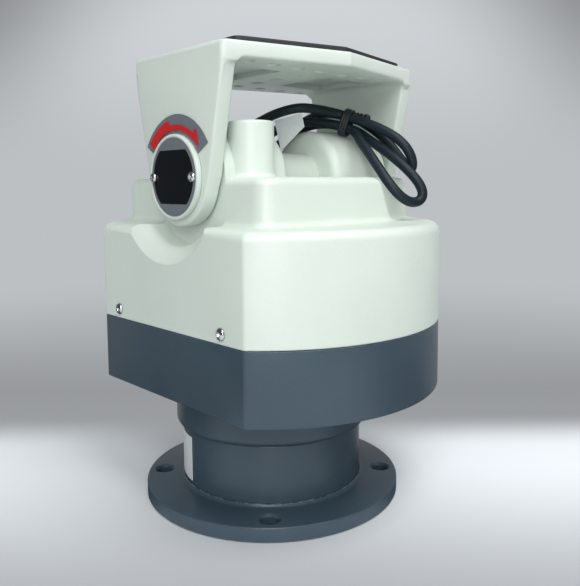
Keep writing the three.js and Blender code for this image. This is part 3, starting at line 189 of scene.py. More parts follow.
def loop_places(loop, forward):
    start = tie_place + tie_heading * forward * cord_radius * 2
    across = Vector(loop["spread"]).normalized()
    bend, tip = Vector(loop["bend"]), Vector(loop["tip"])
    places = []
    for i in range(loop_steps + 1):
        share = i / loop_steps
        out = math.sin(math.pi * share)
        strand = strand_place(loop["exit"] if share < 0.5 else loop["back"], 0) - tie_place
        spread = loop["width"] * (loop["neck_share"] + (1 - loop["neck_share"]) * out)
        places.append(curve_between(start, bend, tip, out) + strand * (1 - out ** 4)
                      + across * spread * math.sin(2 * math.pi * share))
    return places


# %% [markdown]
# A cord never turns a sharp corner, so the places need a smooth curve through them. The curve here passes
# through every place and spaces its steps by the distance between places, which keeps it from swinging out
# at tight bends. A curve object with a round bevel then gives the thickness, and its mesh is what is kept.

# %% A smooth curve through places
def smooth_route(places, step):
    ends = [places[0] * 2 - places[1], *places, places[-1] * 2 - places[-2]]
    route = []
    for a, b, c, d in zip(ends, ends[1:], ends[2:], ends[3:]):
        times = [0]
        for start, end in ((a, b), (b, c), (c, d)):
            times.append(times[-1] + math.sqrt((end - start).length))
        count = max(2, round((c - b).length / step))
        for i in range(count):
            t = times[1] + (times[2] - times[1]) * i / count
            legs = zip((a, b, c), (b, c, d), times, times[1:])
            blends = [p.lerp(q, (t - start) / (end - start)) for p, q, start, end in legs]
            first = blends[0].lerp(blends[1], (t - times[0]) / (times[2] - times[0]))
            second = blends[1].lerp(blends[2], (t - times[1]) / (times[3] - times[1]))
            route.append(first.lerp(second, (t - times[1]) / (times[2] - times[1])))
    return [*route, places[-1]]


def round_cord(name, route, radius, sides=6):
    curve = bpy.data.curves.new(name, "CURVE")
    curve.dimensions = "3D"
    curve.bevel_depth = radius
    curve.bevel_resolution = sides
    curve.use_fill_caps = True
    spline = curve.splines.new("POLY")
    spline.points.add(len(route) - 1)
    for point, place in zip(spline.points, route):
        point.co = (*place, 1)
    line = add_object(name, curve)
    mesh = shown_mesh(line)
    bpy.data.objects.remove(line)
    return add_object(name, mesh)


# %% The cable
cord_step = 2.5 * mm
cord_smooth_angle = math.radians(50)
cable_places = [Vector(place) for place in lead_route]
cable_places += [strand_place((1, 1), -cord_radius * 2), strand_place((1, 1), 0)]
for i, loop in enumerate(hank_loops):
    cable_places += loop_places(loop, 1 if i % 2 == 0 else -1)
cable_places.append(strand_place(hank_loops[-1]["back"], -cord_radius * 2))
cable_places += [Vector(place) for place in tail_route]
cable_route = smooth_route(cable_places, cord_step)
cable = round_cord("cable", cable_route, cord_radius)
shade(cable, cord_smooth_angle)
dress(cable, "cable_lead", "cable_hank")

# %% [markdown]
# A powder coat is never one flat colour. Seen close it has fine grain, its gloss changes slowly from place
# to place, and on edges it is rounder than the metal under it. Each effect serves several finishes, so each
# is a node group with its own inputs, and a material only places it and sets the values. Short helpers add
# the nodes.

# %% Node helpers
def add_node(tree, kind, inputs=None, **settings):
    made = tree.nodes.new(kind)
    for key, value in settings.items():
        setattr(made, key, value)
    for key, value in (inputs or {}).items():
        socket = made.inputs[key]
        if isinstance(value, bpy.types.NodeSocket):
            tree.links.new(value, socket)
        else:
            socket.default_value = value
    return made


def remap(tree, value, low, high, curve="LINEAR"):
    return add_node(tree, "ShaderNodeMapRange", {"Value": value, "From Min": low, "From Max": high},
                    interpolation_type=curve).outputs[0]


def calculate(tree, operation, *values):
    return add_node(tree, "ShaderNodeMath", dict(enumerate(values)), operation=operation).outputs[0]


def measure(tree, operation, *vectors):
    made = add_node(tree, "ShaderNodeVectorMath", dict(enumerate(vectors)), operation=operation)
    return made.outputs["Value"]


def mix_colours(tree, share, first, second, **settings):
    return add_node(tree, "ShaderNodeMix", {"Factor": share, "A": first, "B": second}, data_type="RGBA",
                    **settings).outputs[2]


def new_group(name, inputs, outputs):
    group = bpy.data.node_groups.new(name, "ShaderNodeTree")
    for title, kind, value in inputs:
        socket = group.interface.new_socket(title, in_out="INPUT", socket_type=kind)
        socket.default_value = value
    for title, kind in outputs:
        group.interface.new_socket(title, in_out="OUTPUT", socket_type=kind)
    return group, group.nodes.new("NodeGroupInput").outputs, group.nodes.new("NodeGroupOutput").inputs


# %% Grain: fine bumps, and slow patches of tone
speckle_range = (0.35, 0.65)
patch_range = (0.3, 0.7)
grain, given, wanted = new_group(
    "grain",
    [("Grain Scale", "NodeSocketFloat", 900), ("Patch Scale", "NodeSocketFloat", 25)],
    [("Height", "NodeSocketFloat"), ("Speckle", "NodeSocketFloat"), ("Patches", "NodeSocketFloat")])
spot = add_node(grain, "ShaderNodeTexCoord").outputs["Object"]
fine = add_node(grain, "ShaderNodeTexNoise", {"Vector": spot, "Scale": given["Grain Scale"], "Detail": 2.0})
slow = add_node(grain, "ShaderNodeTexNoise", {"Vector": spot, "Scale": given["Patch Scale"], "Detail": 3.0})
grain.links.new(fine.outputs["Fac"], wanted["Height"])
grain.links.new(remap(grain, fine.outputs["Fac"], *speckle_range), wanted["Speckle"])
grain.links.new(remap(grain, slow.outputs["Fac"], *patch_range), wanted["Patches"])
print("grain:", len(grain.nodes), "nodes")

# %% Soft edges: a rounder normal at corners, and a mask of where they are
likeness_range = (0.985, 0.85)
chip_scale = 320.0
chip_range = (0.42, 0.62)
soft_edges, given, wanted = new_group(
    "soft edges",
    [("Radius", "NodeSocketFloat", 0.8 * mm), ("Wear And Highlight", "NodeSocketFloat", 0.5)],
    [("Normal", "NodeSocketVector"), ("Edge", "NodeSocketFloat")])
rounder = add_node(soft_edges, "ShaderNodeBevel", {"Radius": given["Radius"]}, samples=4).outputs[0]
true_normal = add_node(soft_edges, "ShaderNodeNewGeometry").outputs["Normal"]
turned_away = remap(soft_edges, measure(soft_edges, "DOT_PRODUCT", rounder, true_normal), *likeness_range)
spot = add_node(soft_edges, "ShaderNodeTexCoord").outputs["Object"]
chips = add_node(soft_edges, "ShaderNodeTexNoise", {"Vector": spot, "Scale": chip_scale, "Detail": 4.0})
# The edge mask lightens edges in the finish, partly as a rubbed-thin coat and partly as a painted highlight.
worn_and_highlit = calculate(soft_edges, "MULTIPLY", turned_away, remap(soft_edges, chips.outputs["Fac"], *chip_range))
soft_edges.links.new(rounder, wanted["Normal"])
soft_edges.links.new(calculate(soft_edges, "MULTIPLY", worn_and_highlit, given["Wear And Highlight"]), wanted["Edge"])
print("soft edges:", len(soft_edges.nodes), "nodes")

# %% [markdown]
# Every coated, moulded or metal finish here is built the same way: a colour that drifts a little, a
# roughness that follows its patches, a bump from the grain, and edges that are rounder and a little
# lighter, partly as a rubbed-thin coat and partly as a painted highlight. A function puts these together,
# and each finish of the object is one call with its own values.

# %% One recipe for the finishes
# How far edges lighten by default: partly a rubbed-thin coat, partly a painted highlight.
wear_and_highlight_lift = 0.3


def new_material(name):
    material = bpy.data.materials.new(name)
    material.use_nodes = True
    material.node_tree.nodes.clear()
    return material, material.node_tree


def lighter(colour):
    return tuple(channel + (1 - channel) * wear_and_highlight_lift for channel in colour)


def finish(name, colour, roughness, metallic=0.0, grain_scale=900, bump=0.02 * mm, drift=0.06, edge=0.8 * mm,
           wear_and_highlight=0.3, edge_colour=None, spread=0.08, level=0.5):
    material, tree = new_material(name)
    texture = add_node(tree, "ShaderNodeGroup", node_tree=grain)
    texture.inputs["Grain Scale"].default_value = grain_scale
    edges = add_node(tree, "ShaderNodeGroup", node_tree=soft_edges)
    edges.inputs["Radius"].default_value = edge
    edges.inputs["Wear And Highlight"].default_value = wear_and_highlight
    dark = tuple(channel * (1 - drift) for channel in colour)
    bright = tuple(channel * (1 + drift / 3) for channel in colour)
    speck = (1 - drift,) * 3
    base = mix_colours(tree, texture.outputs["Patches"], (*dark, 1), (*bright, 1))
    specks = mix_colours(tree, texture.outputs["Speckle"], (*speck, 1), (1, 1, 1, 1))
    speckled = mix_colours(tree, 1.0, base, specks, blend_type="MULTIPLY")
    worn_and_highlit = mix_colours(tree, edges.outputs["Edge"], speckled, (*(edge_colour or lighter(colour)), 1))
    rough = add_node(tree, "ShaderNodeMapRange", {
        "Value": texture.outputs["Patches"], "To Min": roughness - spread / 2,
        "To Max": roughness + spread / 2})
    raised = add_node(tree, "ShaderNodeBump", {
        "Height": texture.outputs["Height"], "Distance": bump, "Normal": edges.outputs["Normal"]})
    surface = add_node(tree, "ShaderNodeBsdfPrincipled", {
        "Base Color": worn_and_highlit, "Roughness": rough.outputs[0], "Metallic": metallic, "Specular IOR Level": level,
        "Normal": raised.outputs[0]})
    output = add_node(tree, "ShaderNodeOutputMaterial")
    tree.links.new(surface.outputs[0], output.inputs["Surface"])
    return material


# %% [markdown]
# The castings are powder coated, pale above and slate below. The slate's edges are paler, partly as a
# rubbed-thin coat and partly as a painted highlight. Screws, shafts and gears are bare metal, the cable and
# the pad are rubber, and the labels are plain films. Each tone was set by comparing a render with the
# photograph, one finish at a time.

# %% The object's finishes
pale_paint = finish("pale paint", (0.63, 0.7, 0.635), 0.38, grain_scale=1500, bump=0.03 * mm, drift=0.03,
                    edge=1.2 * mm, wear_and_highlight=0.1)
# The slate's pale edge colour and strong edge amount paint a bright highlight along its rims.
slate_paint = finish("slate paint", (0.046, 0.075, 0.1), 0.33, grain_scale=1700, bump=0.035 * mm, drift=0.1,
                     edge=0.5 * mm, wear_and_highlight=0.8, edge_colour=(0.2, 0.26, 0.31), level=0.42)
bright_steel = finish("bright steel", (0.6, 0.61, 0.62), 0.2, metallic=1.0, bump=0.004 * mm, drift=0.1,
                      edge=0.2 * mm, wear_and_highlight=0)
turned_steel = finish("turned steel", (0.5, 0.51, 0.53), 0.32, metallic=1.0, bump=0.006 * mm, drift=0.15,
                      edge=0.3 * mm, wear_and_highlight=0)
brass = finish("brass", (0.62, 0.46, 0.2), 0.3, metallic=1.0, bump=0.006 * mm, drift=0.15, edge=0.3 * mm,
               wear_and_highlight=0)
motor_grey = finish("motor grey", (0.12, 0.13, 0.14), 0.45, edge=0.6 * mm)
board_green = finish("board green", (0.03, 0.15, 0.07), 0.4, edge=0.2 * mm)
pad_rubber = finish("pad rubber", (0.022, 0.025, 0.029), 0.62, grain_scale=1300, bump=0.06 * mm, drift=0.2,
                    edge=0.6 * mm, wear_and_highlight=0.2)
cable_rubber = finish("cable rubber", (0.011, 0.02, 0.028), 0.42, grain_scale=1600, bump=0.03 * mm, drift=0.2,
                      edge=0.2 * mm, wear_and_highlight=0, level=0.25)
black_plastic = finish("black plastic", (0.012, 0.014, 0.017), 0.4, grain_scale=1800, bump=0.03 * mm,
                       drift=0.2, edge=0.4 * mm, wear_and_highlight=0.2)
black_film = finish("black film", (0.003, 0.005, 0.007), 0.1, grain_scale=260, drift=0.3, edge=0.1 * mm,
                    wear_and_highlight=0, level=0.4)
grey_film = finish("grey film", (0.15, 0.17, 0.19), 0.24, grain_scale=1200, bump=0.01 * mm, edge=0.1 * mm,
                   wear_and_highlight=0)
red_film = finish("red film", (0.56, 0.003, 0.009), 0.45, grain_scale=1200, bump=0.01 * mm, edge=0.1 * mm,
                  wear_and_highlight=0)
white_film = finish("white film", (0.72, 0.75, 0.76), 0.5, edge=0.1 * mm, wear_and_highlight=0)
finishes = {
    "slate_paint": slate_paint, "pale_paint": pale_paint, "bright_steel": bright_steel,
    "turned_steel": turned_steel, "brass": brass, "motor_grey": motor_grey, "board_green": board_green,
    "black_rubber": pad_rubber, "cable_rubber": cable_rubber, "black_plastic": black_plastic,
    "black_film": black_film, "grey_film": grey_film, "red_film": red_film, "white_film": white_film,
}
cable.data.materials.append(cable_rubber)
print("finishes:", len(finishes))

# %% [markdown]
# Three ways of making a shape serve most of a machine. Spinning a profile gives turned parts, bridging
# outlines at different heights gives cast parts with rounded rims, and cutting one solid with another gives
# holes and hollows. Each is one of Blender's own operators, so a short helper for each is enough.

# %% Spin a profile
def turned(name, profile, steps=96):
    bm = bmesh.new()
    points = [bm.verts.new((radius * mm, 0, height * mm)) for radius, height in profile]
    pairs = list(zip(points, points[1:]))
    if profile[0][0] > 0 or profile[-1][0] > 0:
        pairs.append((points[-1], points[0]))
    edges = [bm.edges.new(pair) for pair in pairs]
    bmesh.ops.spin(bm, geom=points + edges, cent=(0, 0, 0), axis=(0, 0, 1), angle=2 * math.pi, steps=steps,
                   use_merge=True)
    bmesh.ops.remove_doubles(bm, verts=bm.verts, dist=merge_distance)
    bmesh.ops.recalc_face_normals(bm, faces=bm.faces)
    return to_object(name, bm)


def quarter_turns(steps):
    return [math.pi / 2 * i / steps for i in range(steps + 1)]


def quarter_round(radius, height, rim, steps=5):
    return [(radius - rim * (1 - math.cos(turn)), height - rim * (1 - math.sin(turn)))
            for turn in quarter_turns(steps)]


def fillet(radius, height, foot, steps=5):
    return [(radius + foot * (1 - math.sin(turn)), height + foot * (1 - math.cos(turn)))
            for turn in quarter_turns(steps)]


# %% Bridge outlines
def lofted(name, rings):
    bm = bmesh.new()
    loops = []
    for ring in rings:
        points = [bm.verts.new(Vector(place) * mm) for place in ring]
        loops.append([bm.edges.new(pair) for pair in zip(points, points[1:] + points[:1])])
    for low, high in zip(loops, loops[1:]):
        bmesh.ops.bridge_loops(bm, edges=low + high)
    for end in (loops[0], loops[-1]):
        bmesh.ops.contextual_create(bm, geom=end)
    bmesh.ops.recalc_face_normals(bm, faces=bm.faces)
    return to_object(name, bm)


def at_height(outline, height):
    return [(x, y, height) for x, y in outline]


def domed(name, outline, low, high, rim, foot=0, steps=6):
    flare = fillet(0, low, foot, steps) if foot else [(0, low)]
    rings = [at_height(outline(-out, height), height)
             for out, height in flare + quarter_round(0, high, rim, steps)]
    return lofted(name, rings)


# %% Bars, blocks and cuts
def shift(x, y, z):
    return Matrix.Translation((x * mm, y * mm, z * mm))


def place_piece(piece, matrix):
    piece.data.transform(matrix)
    return piece


def bar(radius, low, high, sides=64, axis="Z", place=(0, 0, 0)):
    bm = bmesh.new()
    turn = Matrix.Rotation(math.pi / 2, 4, "Y") if axis == "X" else Matrix.Identity(4)
    middle = Matrix.Translation(Vector((0, 0, (low + high) / 2)) * mm)
    bmesh.ops.create_cone(bm, cap_ends=True, segments=sides, radius1=radius * mm, radius2=radius * mm,
                          depth=(high - low) * mm,
                          matrix=Matrix.Translation(Vector(place) * mm) @ turn @ middle)
    return to_object("bar", bm)


def block(low, high):
    bm = bmesh.new()
    size = Vector(high) - Vector(low)
    middle = (Vector(high) + Vector(low)) / 2
    bmesh.ops.create_cube(bm, size=1,
                          matrix=Matrix.Translation(middle * mm) @ Matrix.Diagonal((*size * mm, 1)))
    return to_object("block", bm)


def combine(target, tools, operation="DIFFERENCE"):
    for tool in tools:
        step = target.modifiers.new("cut", "BOOLEAN")
        step.operation = operation
        step.solver = "EXACT"
        step.object = tool
        settle(target)
        bpy.data.objects.remove(tool)
    return target


# %% Rounded outlines, and places on a circle
def rounded(corners, steps=5):
    places = []
    for i, (x, y, radius) in enumerate(corners):
        here = Vector((x, y))
        before = (Vector(corners[i - 1][:2]) - here).normalized()
        after = (Vector(corners[(i + 1) % len(corners)][:2]) - here).normalized()
        start = here + before * radius
        end = here + after * radius
        count = steps if radius > 0 else 0
        places += [tuple(curve_between(start, here, end, j / max(count, 1))) for j in range(count + 1)]
    return places


def on_circle(radius, turn):
    return radius * math.cos(turn), radius * math.sin(turn)


# %% [markdown]
# The body that pans is a drum with a flat on each side. Its plan is two arcs and two straight lines, with a
# small radius where they meet, and the same outline drawn in a little gives the hollow and the rounded
# shoulder.

# %% Plan of the body
body_radius = 108
body_left = 80.8
body_right = 100.8
body_corner = 1.4
cast_wall = 3.5


def body_corner_places(radius, turn, slack, flat, steps=4):
    corner = Vector(on_circle(radius, turn))
    on_flat = Vector((flat, corner.y - math.copysign(body_corner, corner.y)))
    on_arc = Vector(on_circle(radius, turn + slack))
    first, last = (on_flat, on_arc) if slack > 0 else (on_arc, on_flat)
    return [tuple(curve_between(first, corner, last, i / steps)) for i in range(steps + 1)]


def body_outline(inset, steps=40):
    radius = body_radius - inset
    left, right = body_left - inset, body_right - inset
    left_turn, right_turn = math.acos(left / radius), math.acos(right / radius)
    slack = body_corner / radius
    arcs = [(-math.pi + left_turn, -right_turn, -left, right),
            (right_turn, math.pi - left_turn, right, -left)]
    places = []
    for start, end, first_flat, last_flat in arcs:
        places += body_corner_places(radius, start, slack, first_flat)
        places += [on_circle(radius, start + slack + (end - start - slack * 2) * i / steps)
                   for i in range(1, steps)]
        places += body_corner_places(radius, end, -slack, last_flat)
    return places


def body_prism(name, inset, low, high):
    return lofted(name, [at_height(body_outline(inset), height) for height in (low, high)])


print("places on the body's outline:", len(body_outline(0)))

# %% [markdown]
# The base is a turret with a flange ring about its foot. Both are round, so each is one spun profile. The
# flange has a fillet where it meets the turret, and four chamfered holes for the bolts that hold the head
# down.

# %% Flange ring
large_steps = 144
flange_radius = 82.5
flange_inside = 58.3
flange_thickness = 9
flange_fillet = 2.5
flange_chamfer, flange_round = 0.8, 0.9
bolt_circle, bolt_start = 72.35, -42.5
bolt_hole = 5.5
bolt_chamfer = [(0, 7.6), (5.3, 7.6), (7.2, 9.5), (0, 9.5)]
flange = turned("flange", [
    (flange_inside, 0), (flange_radius - flange_chamfer, 0), (flange_radius, flange_chamfer),
    *quarter_round(flange_radius, flange_thickness, flange_round),
    *fillet(flange_inside, flange_thickness, flange_fillet)], steps=large_steps)
holes = []
for i in range(4):
    x, y = on_circle(bolt_circle, math.radians(bolt_start + 90 * i))
    holes.append(bar(bolt_hole, -5, 20, 40, place=(x, y, 0)))
    holes.append(place_piece(turned("chamfer", bolt_chamfer, 40), shift(x, y, 0)))
combine(flange, holes)
complete(flange, slate_paint, "base_flange")

# %% Turret
turret_radius, turret_inside = 58, 52
turret_top, turret_roof = 46.3, 37.8
spigot_hole = 26.3
stop_pin_hole, stop_pin_circle = 2.3, 48
spindle_screw_hole, spindle_screw_circle = 2.8, 35
turret = turned("turret", [
    (turret_inside, 0), (turret_radius, 0), *quarter_round(turret_radius, turret_top, 1),
    (spigot_hole, turret_top), (spigot_hole, turret_roof), (turret_inside, turret_roof)], steps=large_steps)
roof_holes = [bar(stop_pin_hole, 41, 50, 24, place=(0, stop_pin_circle, 0))]
for i in range(4):
    x, y = on_circle(spindle_screw_circle, math.pi / 2 * i)
    roof_holes.append(bar(spindle_screw_hole, 42, 50, 24, place=(x, y, 0)))
combine(turret, roof_holes)
complete(turret, slate_paint, "base_turret")

# %% [markdown]
# The skirt is the dark lower half of the body. It carries a collar that runs over the turret, so it is a
# hollow drum joined to a spun ring, with the bearing's hub in the middle. Inside stand six posts and the
# lug that stops the pan, and a lip on top holds the cover. Its outside is what is seen.

# %% Skirt: the drum and its lip
skirt_low = 73.8
skirt_top = 115
skirt_floor = 79
skirt_round = 1.2
skirt_chamfer = 0.4
drum_wall = cast_wall * 2
rings = [at_height(body_outline(inset), height) for inset, height in fillet(0, skirt_low, skirt_round, 3)]
rings.append(at_height(body_outline(0), skirt_top - skirt_chamfer))
rings.append(at_height(body_outline(skirt_chamfer), skirt_top))
skirt = lofted("skirt", rings)
combine(skirt, [body_prism("hollow", drum_wall, skirt_floor, skirt_top + 5)])
lip_outer = body_prism("lip", cast_wall + 0.3, skirt_top - 7, skirt_top + 12)
combine(lip_outer, [body_prism("lip_inner", drum_wall - 0.1, skirt_top - 12, skirt_top + 17)])

# %% Skirt: the collar, the hub, the lug and the posts
collar_low, collar_join = 46.6, 76.4
collar_radius, collar_inside = 62.4, 57.4
post_radius, post_circle, post_top = 5, 84, 94.8
collar = turned("collar", [
    (collar_inside, collar_low), (collar_radius - 3, collar_low), (collar_radius - 2.1, collar_low + 0.3),
    (collar_radius - 0.9, collar_low + 1.2), (collar_radius - 0.2, collar_low + 2.3),
    (collar_radius, collar_low + 3.4), (collar_radius, skirt_low - 1.2),
    (collar_radius + 0.4, skirt_low - 0.4), (collar_radius + 1.2, skirt_low),
    (collar_radius + 1.2, collar_join), (collar_inside, collar_join),
], steps=large_steps)
hub = bar(39.3, 66.3, 82, 96)
lug = block((-2, -59.9, 49.1), (2, -45, 54.1))
posts = []
for share in (0.22, 0.5, 0.78, 1.22, 1.5, 1.78):
    x, y = on_circle(post_circle, share * math.pi)
    posts.append(bar(post_radius, collar_join, post_top, 24, place=(x, y, 0)))
combine(skirt, [lip_outer, collar, hub, lug, *posts], "UNION")
combine(skirt, [bar(33.3, 69.7, 90, 96), bar(29.5, 60, 90, 96)])

# %% Skirt: the ways for the cover's screws
cover_screws = [(-1, -53), (-1, 53), (1, -28), (1, 28)]
screw_height = 121
screw_way = 2.2


def face_of(side):
    return body_left if side < 0 else body_right


def screw_ways():
    ways = []
    for side, y in cover_screws:
        low, high = sorted((side * (face_of(side) + 5), side * (face_of(side) - 13)))
        ways.append(bar(screw_way, low, high, 24, axis="X", place=(0, y, screw_height)))
    return ways


combine(skirt, screw_ways())
complete(skirt, slate_paint, "skirt_casting")

# %% [markdown]
# The cover is the pale upper half: a shouldered drum with a raised deck, a dish on each side for the yoke's
# arms, two round housings for the tilt shaft and an upright boss for the worm. Where the deck and the boss
# rise from the casting their walls meet it in a fillet, so both are given a flared foot before the solids
# are joined. The hollow is cut before the boss goes on, and the bores come last.

# %% Cover: sizes and the plan of the deck
cover_low = 115.3
shoulder = 175.5
deck = 203
tilt_axis = 203.4
deck_left, deck_right = 59.5, 79.5
deck_front, deck_rear, deck_pillar = 64, 76, 52
step_near, step_run, step_slant = 46, 7, 11
deck_rounds = {"front left": 11, "step": 3, "side": 8}


def deck_outline(inset, height):
    near = step_near - step_slant * max(0, height - shoulder) / (deck - shoulder) - inset
    far = near + step_run
    left, right = -deck_left + inset, deck_right - inset
    front, rear, pillar = -deck_front + inset, deck_rear - inset, deck_pillar - inset
    step, side = deck_rounds["step"], deck_rounds["side"]
    return rounded([
        (left, front, deck_rounds["front left"]), (near, front, step), (far, -pillar, step),
        (right, -pillar, side), (right, pillar, side), (far, pillar, step), (near, rear, step),
        (left, rear, side)], steps=6)


# %% Cover: the dishes for the arms
dish_radius, dish_mouth = 40, 50
dish_straight = 9.5
dish_steps = 10
housing_steps = 120


def dish(side):
    floor = deck_left if side < 0 else deck_right
    face = face_of(side)
    straight = floor + dish_straight
    profile = [(0, floor), (dish_radius - 1.5, floor), (dish_radius - 0.4, floor + 0.4),
               (dish_radius, floor + 1.5), (dish_radius, straight)]
    for i in range(1, dish_steps + 1):
        share = i / dish_steps
        profile.append((dish_radius + (dish_mouth - dish_radius) * share ** 2,
                        straight + (face - straight) * share))
    profile += [(dish_mouth, face + 5), (0, face + 5)]
    turn = Matrix.Rotation(math.pi / 2 * side, 4, "Y")
    return place_piece(turned("dish", profile, housing_steps), shift(0, 0, tilt_axis) @ turn)


# %% Cover: the housings, the link and the boss
housing_radius, housing_round = 31, 6
left_inner, right_inner = -10, 30
link_radius = 15.8
boss_place = (-39, -29, 0)
boss_top = 235
boss_radius = 13.3
boss_fillet, boss_round = 3, 1.6


def housing(outer, inner):
    towards = 1 if inner > outer else -1
    length = abs(inner - outer)
    rim = quarter_round(housing_radius, length, housing_round, 8)
    solid = turned("housing", [(0, 0), (housing_radius, 0), *rim, (0, length)], housing_steps)
    turn = Matrix.Rotation(math.pi / 2 * towards, 4, "Y")
    return place_piece(solid, shift(outer, 0, tilt_axis) @ turn)


on_axis = {"axis": "X", "place": (0, 0, tilt_axis)}
link = bar(link_radius, left_inner - 6, right_inner + 6, 96, **on_axis)
boss = turned("boss", [
    (0, deck - 20), (boss_radius + 0.5, deck - 20), (boss_radius + 0.5, deck - 1.75),
    *fillet(boss_radius, deck, boss_fillet), *quarter_round(boss_radius, boss_top, boss_round), (0, boss_top),
], steps=80)
place_piece(boss, Matrix.Translation(Vector(boss_place) * mm))

# %% Cover: outside
cover = domed("cover", lambda inset, height: body_outline(inset), cover_low, shoulder, 6)
upper = domed("upper", deck_outline, shoulder, deck, 5, foot=4)
combine(cover, [upper], "UNION")
combine(cover, [dish(-1), dish(1)])
combine(cover, [housing(-deck_left, left_inner), housing(deck_right, right_inner), link], "UNION")

# %% Cover: hollow
dish_back = 48.5
hollow = body_prism("lower_hollow", cast_wall, cover_low - 5, shoulder - cast_wall)
upper_hollow = lofted("upper_hollow", [at_height(deck_outline(cast_wall, deck), height)
                                       for height in (cover_low, deck - cast_wall)])
combine(hollow, [upper_hollow], "UNION")
keep_left = bar(dish_back, -body_left - 5, -deck_left + cast_wall, 96, **on_axis)
keep_right = bar(dish_back, deck_right - cast_wall, body_right + 5, 96, **on_axis)
combine(hollow, [keep_left, keep_right])
combine(cover, [hollow])
combine(cover, [boss], "UNION")

# %% Cover: bores
housing_bore, link_bore = 27, 12
housing_wall, housing_end = 4, 11.5
bearing_seat, bearing_seat_depth = 17.3, 9.6
shaft_bore, wheel_room = 13, 25.6
worm_bore, gland_hole = 10.3, 5.3
gland_place = (-2, 45, 0)
bores = [
    bar(housing_bore, -deck_left + housing_end, left_inner - housing_wall, **on_axis),
    bar(housing_bore, right_inner + housing_wall, deck_right - housing_end, **on_axis),
    bar(link_bore, left_inner - 10, right_inner + 10, 48, **on_axis),
    bar(bearing_seat, -deck_left - 5, -deck_left + bearing_seat_depth, 48, **on_axis),
    bar(bearing_seat, deck_right - bearing_seat_depth, deck_right + 5, 48, **on_axis),
    bar(shaft_bore, -deck_left - 1, -deck_left + 16, 48, **on_axis),
    bar(shaft_bore, deck_right - 16, deck_right + 1, 48, **on_axis),
    bar(wheel_room, -45.8, -32.2, **on_axis),
    bar(worm_bore, deck - 25, boss_top - 3.5, 48, place=boss_place),
    bar(gland_hole, deck - 9, deck + 5, 32, place=gland_place),
]
combine(cover, [*bores, *screw_ways()])
complete(cover, pale_paint, "cover_shell", math.radians(28))

# %% [markdown]
# The yoke is a bent plate with tapered arms, cast in one. Its shape is what three outlines have in common:
# the bridge seen from the front, the tapered arm seen from the side and the six-sided plate seen from
# above. Its long edges are rounded before the holes are cut, so that the rounding runs clean from end to
# end.

# %% Yoke: what three outlines have in common
yoke_middle = 10
yoke_half, yoke_inner = 80.5, 71
yoke_top, yoke_under, arm_top = 72.1, 63.4, 60.6
yoke_depth, yoke_apex, yoke_waist, yoke_end = 44, 62, 30.5, 28.5
beyond = 67
end_steps = 40
to_yoke = shift(yoke_middle, 0, tilt_axis)


def plate_outline(inset, corner, end_inset=0):
    width, depth, apex = yoke_half - inset, yoke_depth - inset, yoke_apex - inset
    depth += (apex - depth) * end_inset / width
    width -= end_inset
    return rounded([(-width, -depth, corner), (0, -apex, 0.5), (width, -depth, corner),
                    (width, depth, corner), (0, apex, 0.5), (-width, depth, corner)], steps=6)


bridge = rounded([
    (-yoke_half, -33, 0), (-yoke_inner, -33, 0), (-yoke_inner, yoke_under, 5), (yoke_inner, yoke_under, 5),
    (yoke_inner, -33, 0), (yoke_half, -33, 0), (yoke_half, yoke_top, 3), (-yoke_half, yoke_top, 3)], steps=6)
yoke = lofted("yoke", [[(x, y, z) for x, z in bridge] for y in (-beyond, beyond)])
lean = math.atan2(yoke_depth - yoke_waist, arm_top)
arm = [(-beyond, 77), (-beyond, arm_top), (-yoke_depth, arm_top), (-yoke_waist, 0)]
arm += [on_circle(yoke_end, math.pi + lean + (math.pi - lean * 2) * i / end_steps)
        for i in range(end_steps + 1)]
arm += [(yoke_waist, 0), (yoke_depth, arm_top), (beyond, arm_top), (beyond, 77)]
envelope = lofted("envelope", [[(x, y, z) for y, z in arm] for x in (-90, 90)])
plan = lofted("plan", [at_height(plate_outline(0, 3), height) for height in (-40, 80)])
combine(yoke, [envelope, plan], "INTERSECT")

# %% Yoke: round the long edges
edge_round = 1.3
edge_angle = math.radians(25)
bm = bmesh.new()
bm.from_mesh(yoke.data)
bmesh.ops.remove_doubles(bm, verts=bm.verts, dist=0.01 * mm)
bmesh.ops.dissolve_limit(bm, angle_limit=math.radians(0.3), verts=bm.verts, edges=bm.edges)
long_edges = [edge for edge in bm.edges if edge.is_manifold and edge.calc_face_angle() > edge_angle]
bmesh.ops.bevel(bm, geom=long_edges, offset=edge_round * mm, affect="EDGES", segments=3, profile=0.5,
                material=-1, clamp_overlap=False)
bm.to_mesh(yoke.data)
bm.free()
print("edges rounded:", len(long_edges))

# %% Yoke: pockets, holes and bores
plate_hole = 2.8
plate_holes = [(0, y) for y in (-16, 3, 22)]
plate_holes += [(19 * (i - 3), row) for row in (-37, 42) for i in range(7)]
pocket_near, pocket_far, pocket_half, pocket_roof = 20, 59, 22.5, 66.7
sink_profile = [(0, yoke_under - 1), (5.4, yoke_under - 1), (plate_hole, yoke_under + 1.6), (plate_hole, 80),
                (0, 80)]
pivot_bore = 9.3
cap_screw_hole = 1.8
cap_screw_places = {"front": -19.8, "rear": 19.8}
cutters = [block((pocket_near, -pocket_half, 58), (pocket_far, pocket_half, pocket_roof)),
           block((-pocket_far, -pocket_half, 58), (-pocket_near, pocket_half, pocket_roof))]
cutters += [place_piece(turned("sink", sink_profile, 28), shift(x, y, 0)) for x, y in plate_holes]
cutters.append(bar(pivot_bore, -90, 90, 48, axis="X"))
cutters += [bar(cap_screw_hole, -90, 90, 24, axis="X", place=(0, y, 0)) for y in cap_screw_places.values()]
combine(yoke, cutters)
place_piece(yoke, to_yoke)
complete(yoke, pale_paint, "yoke_bracket")

# %% [markdown]
# A thin rubber pad lies on the yoke's plate, so that what is mounted there doesn't slip. It has the plate's
# plan drawn in a little and stops short of its ends, its upper edge is rounded, and the same holes go
# through it.

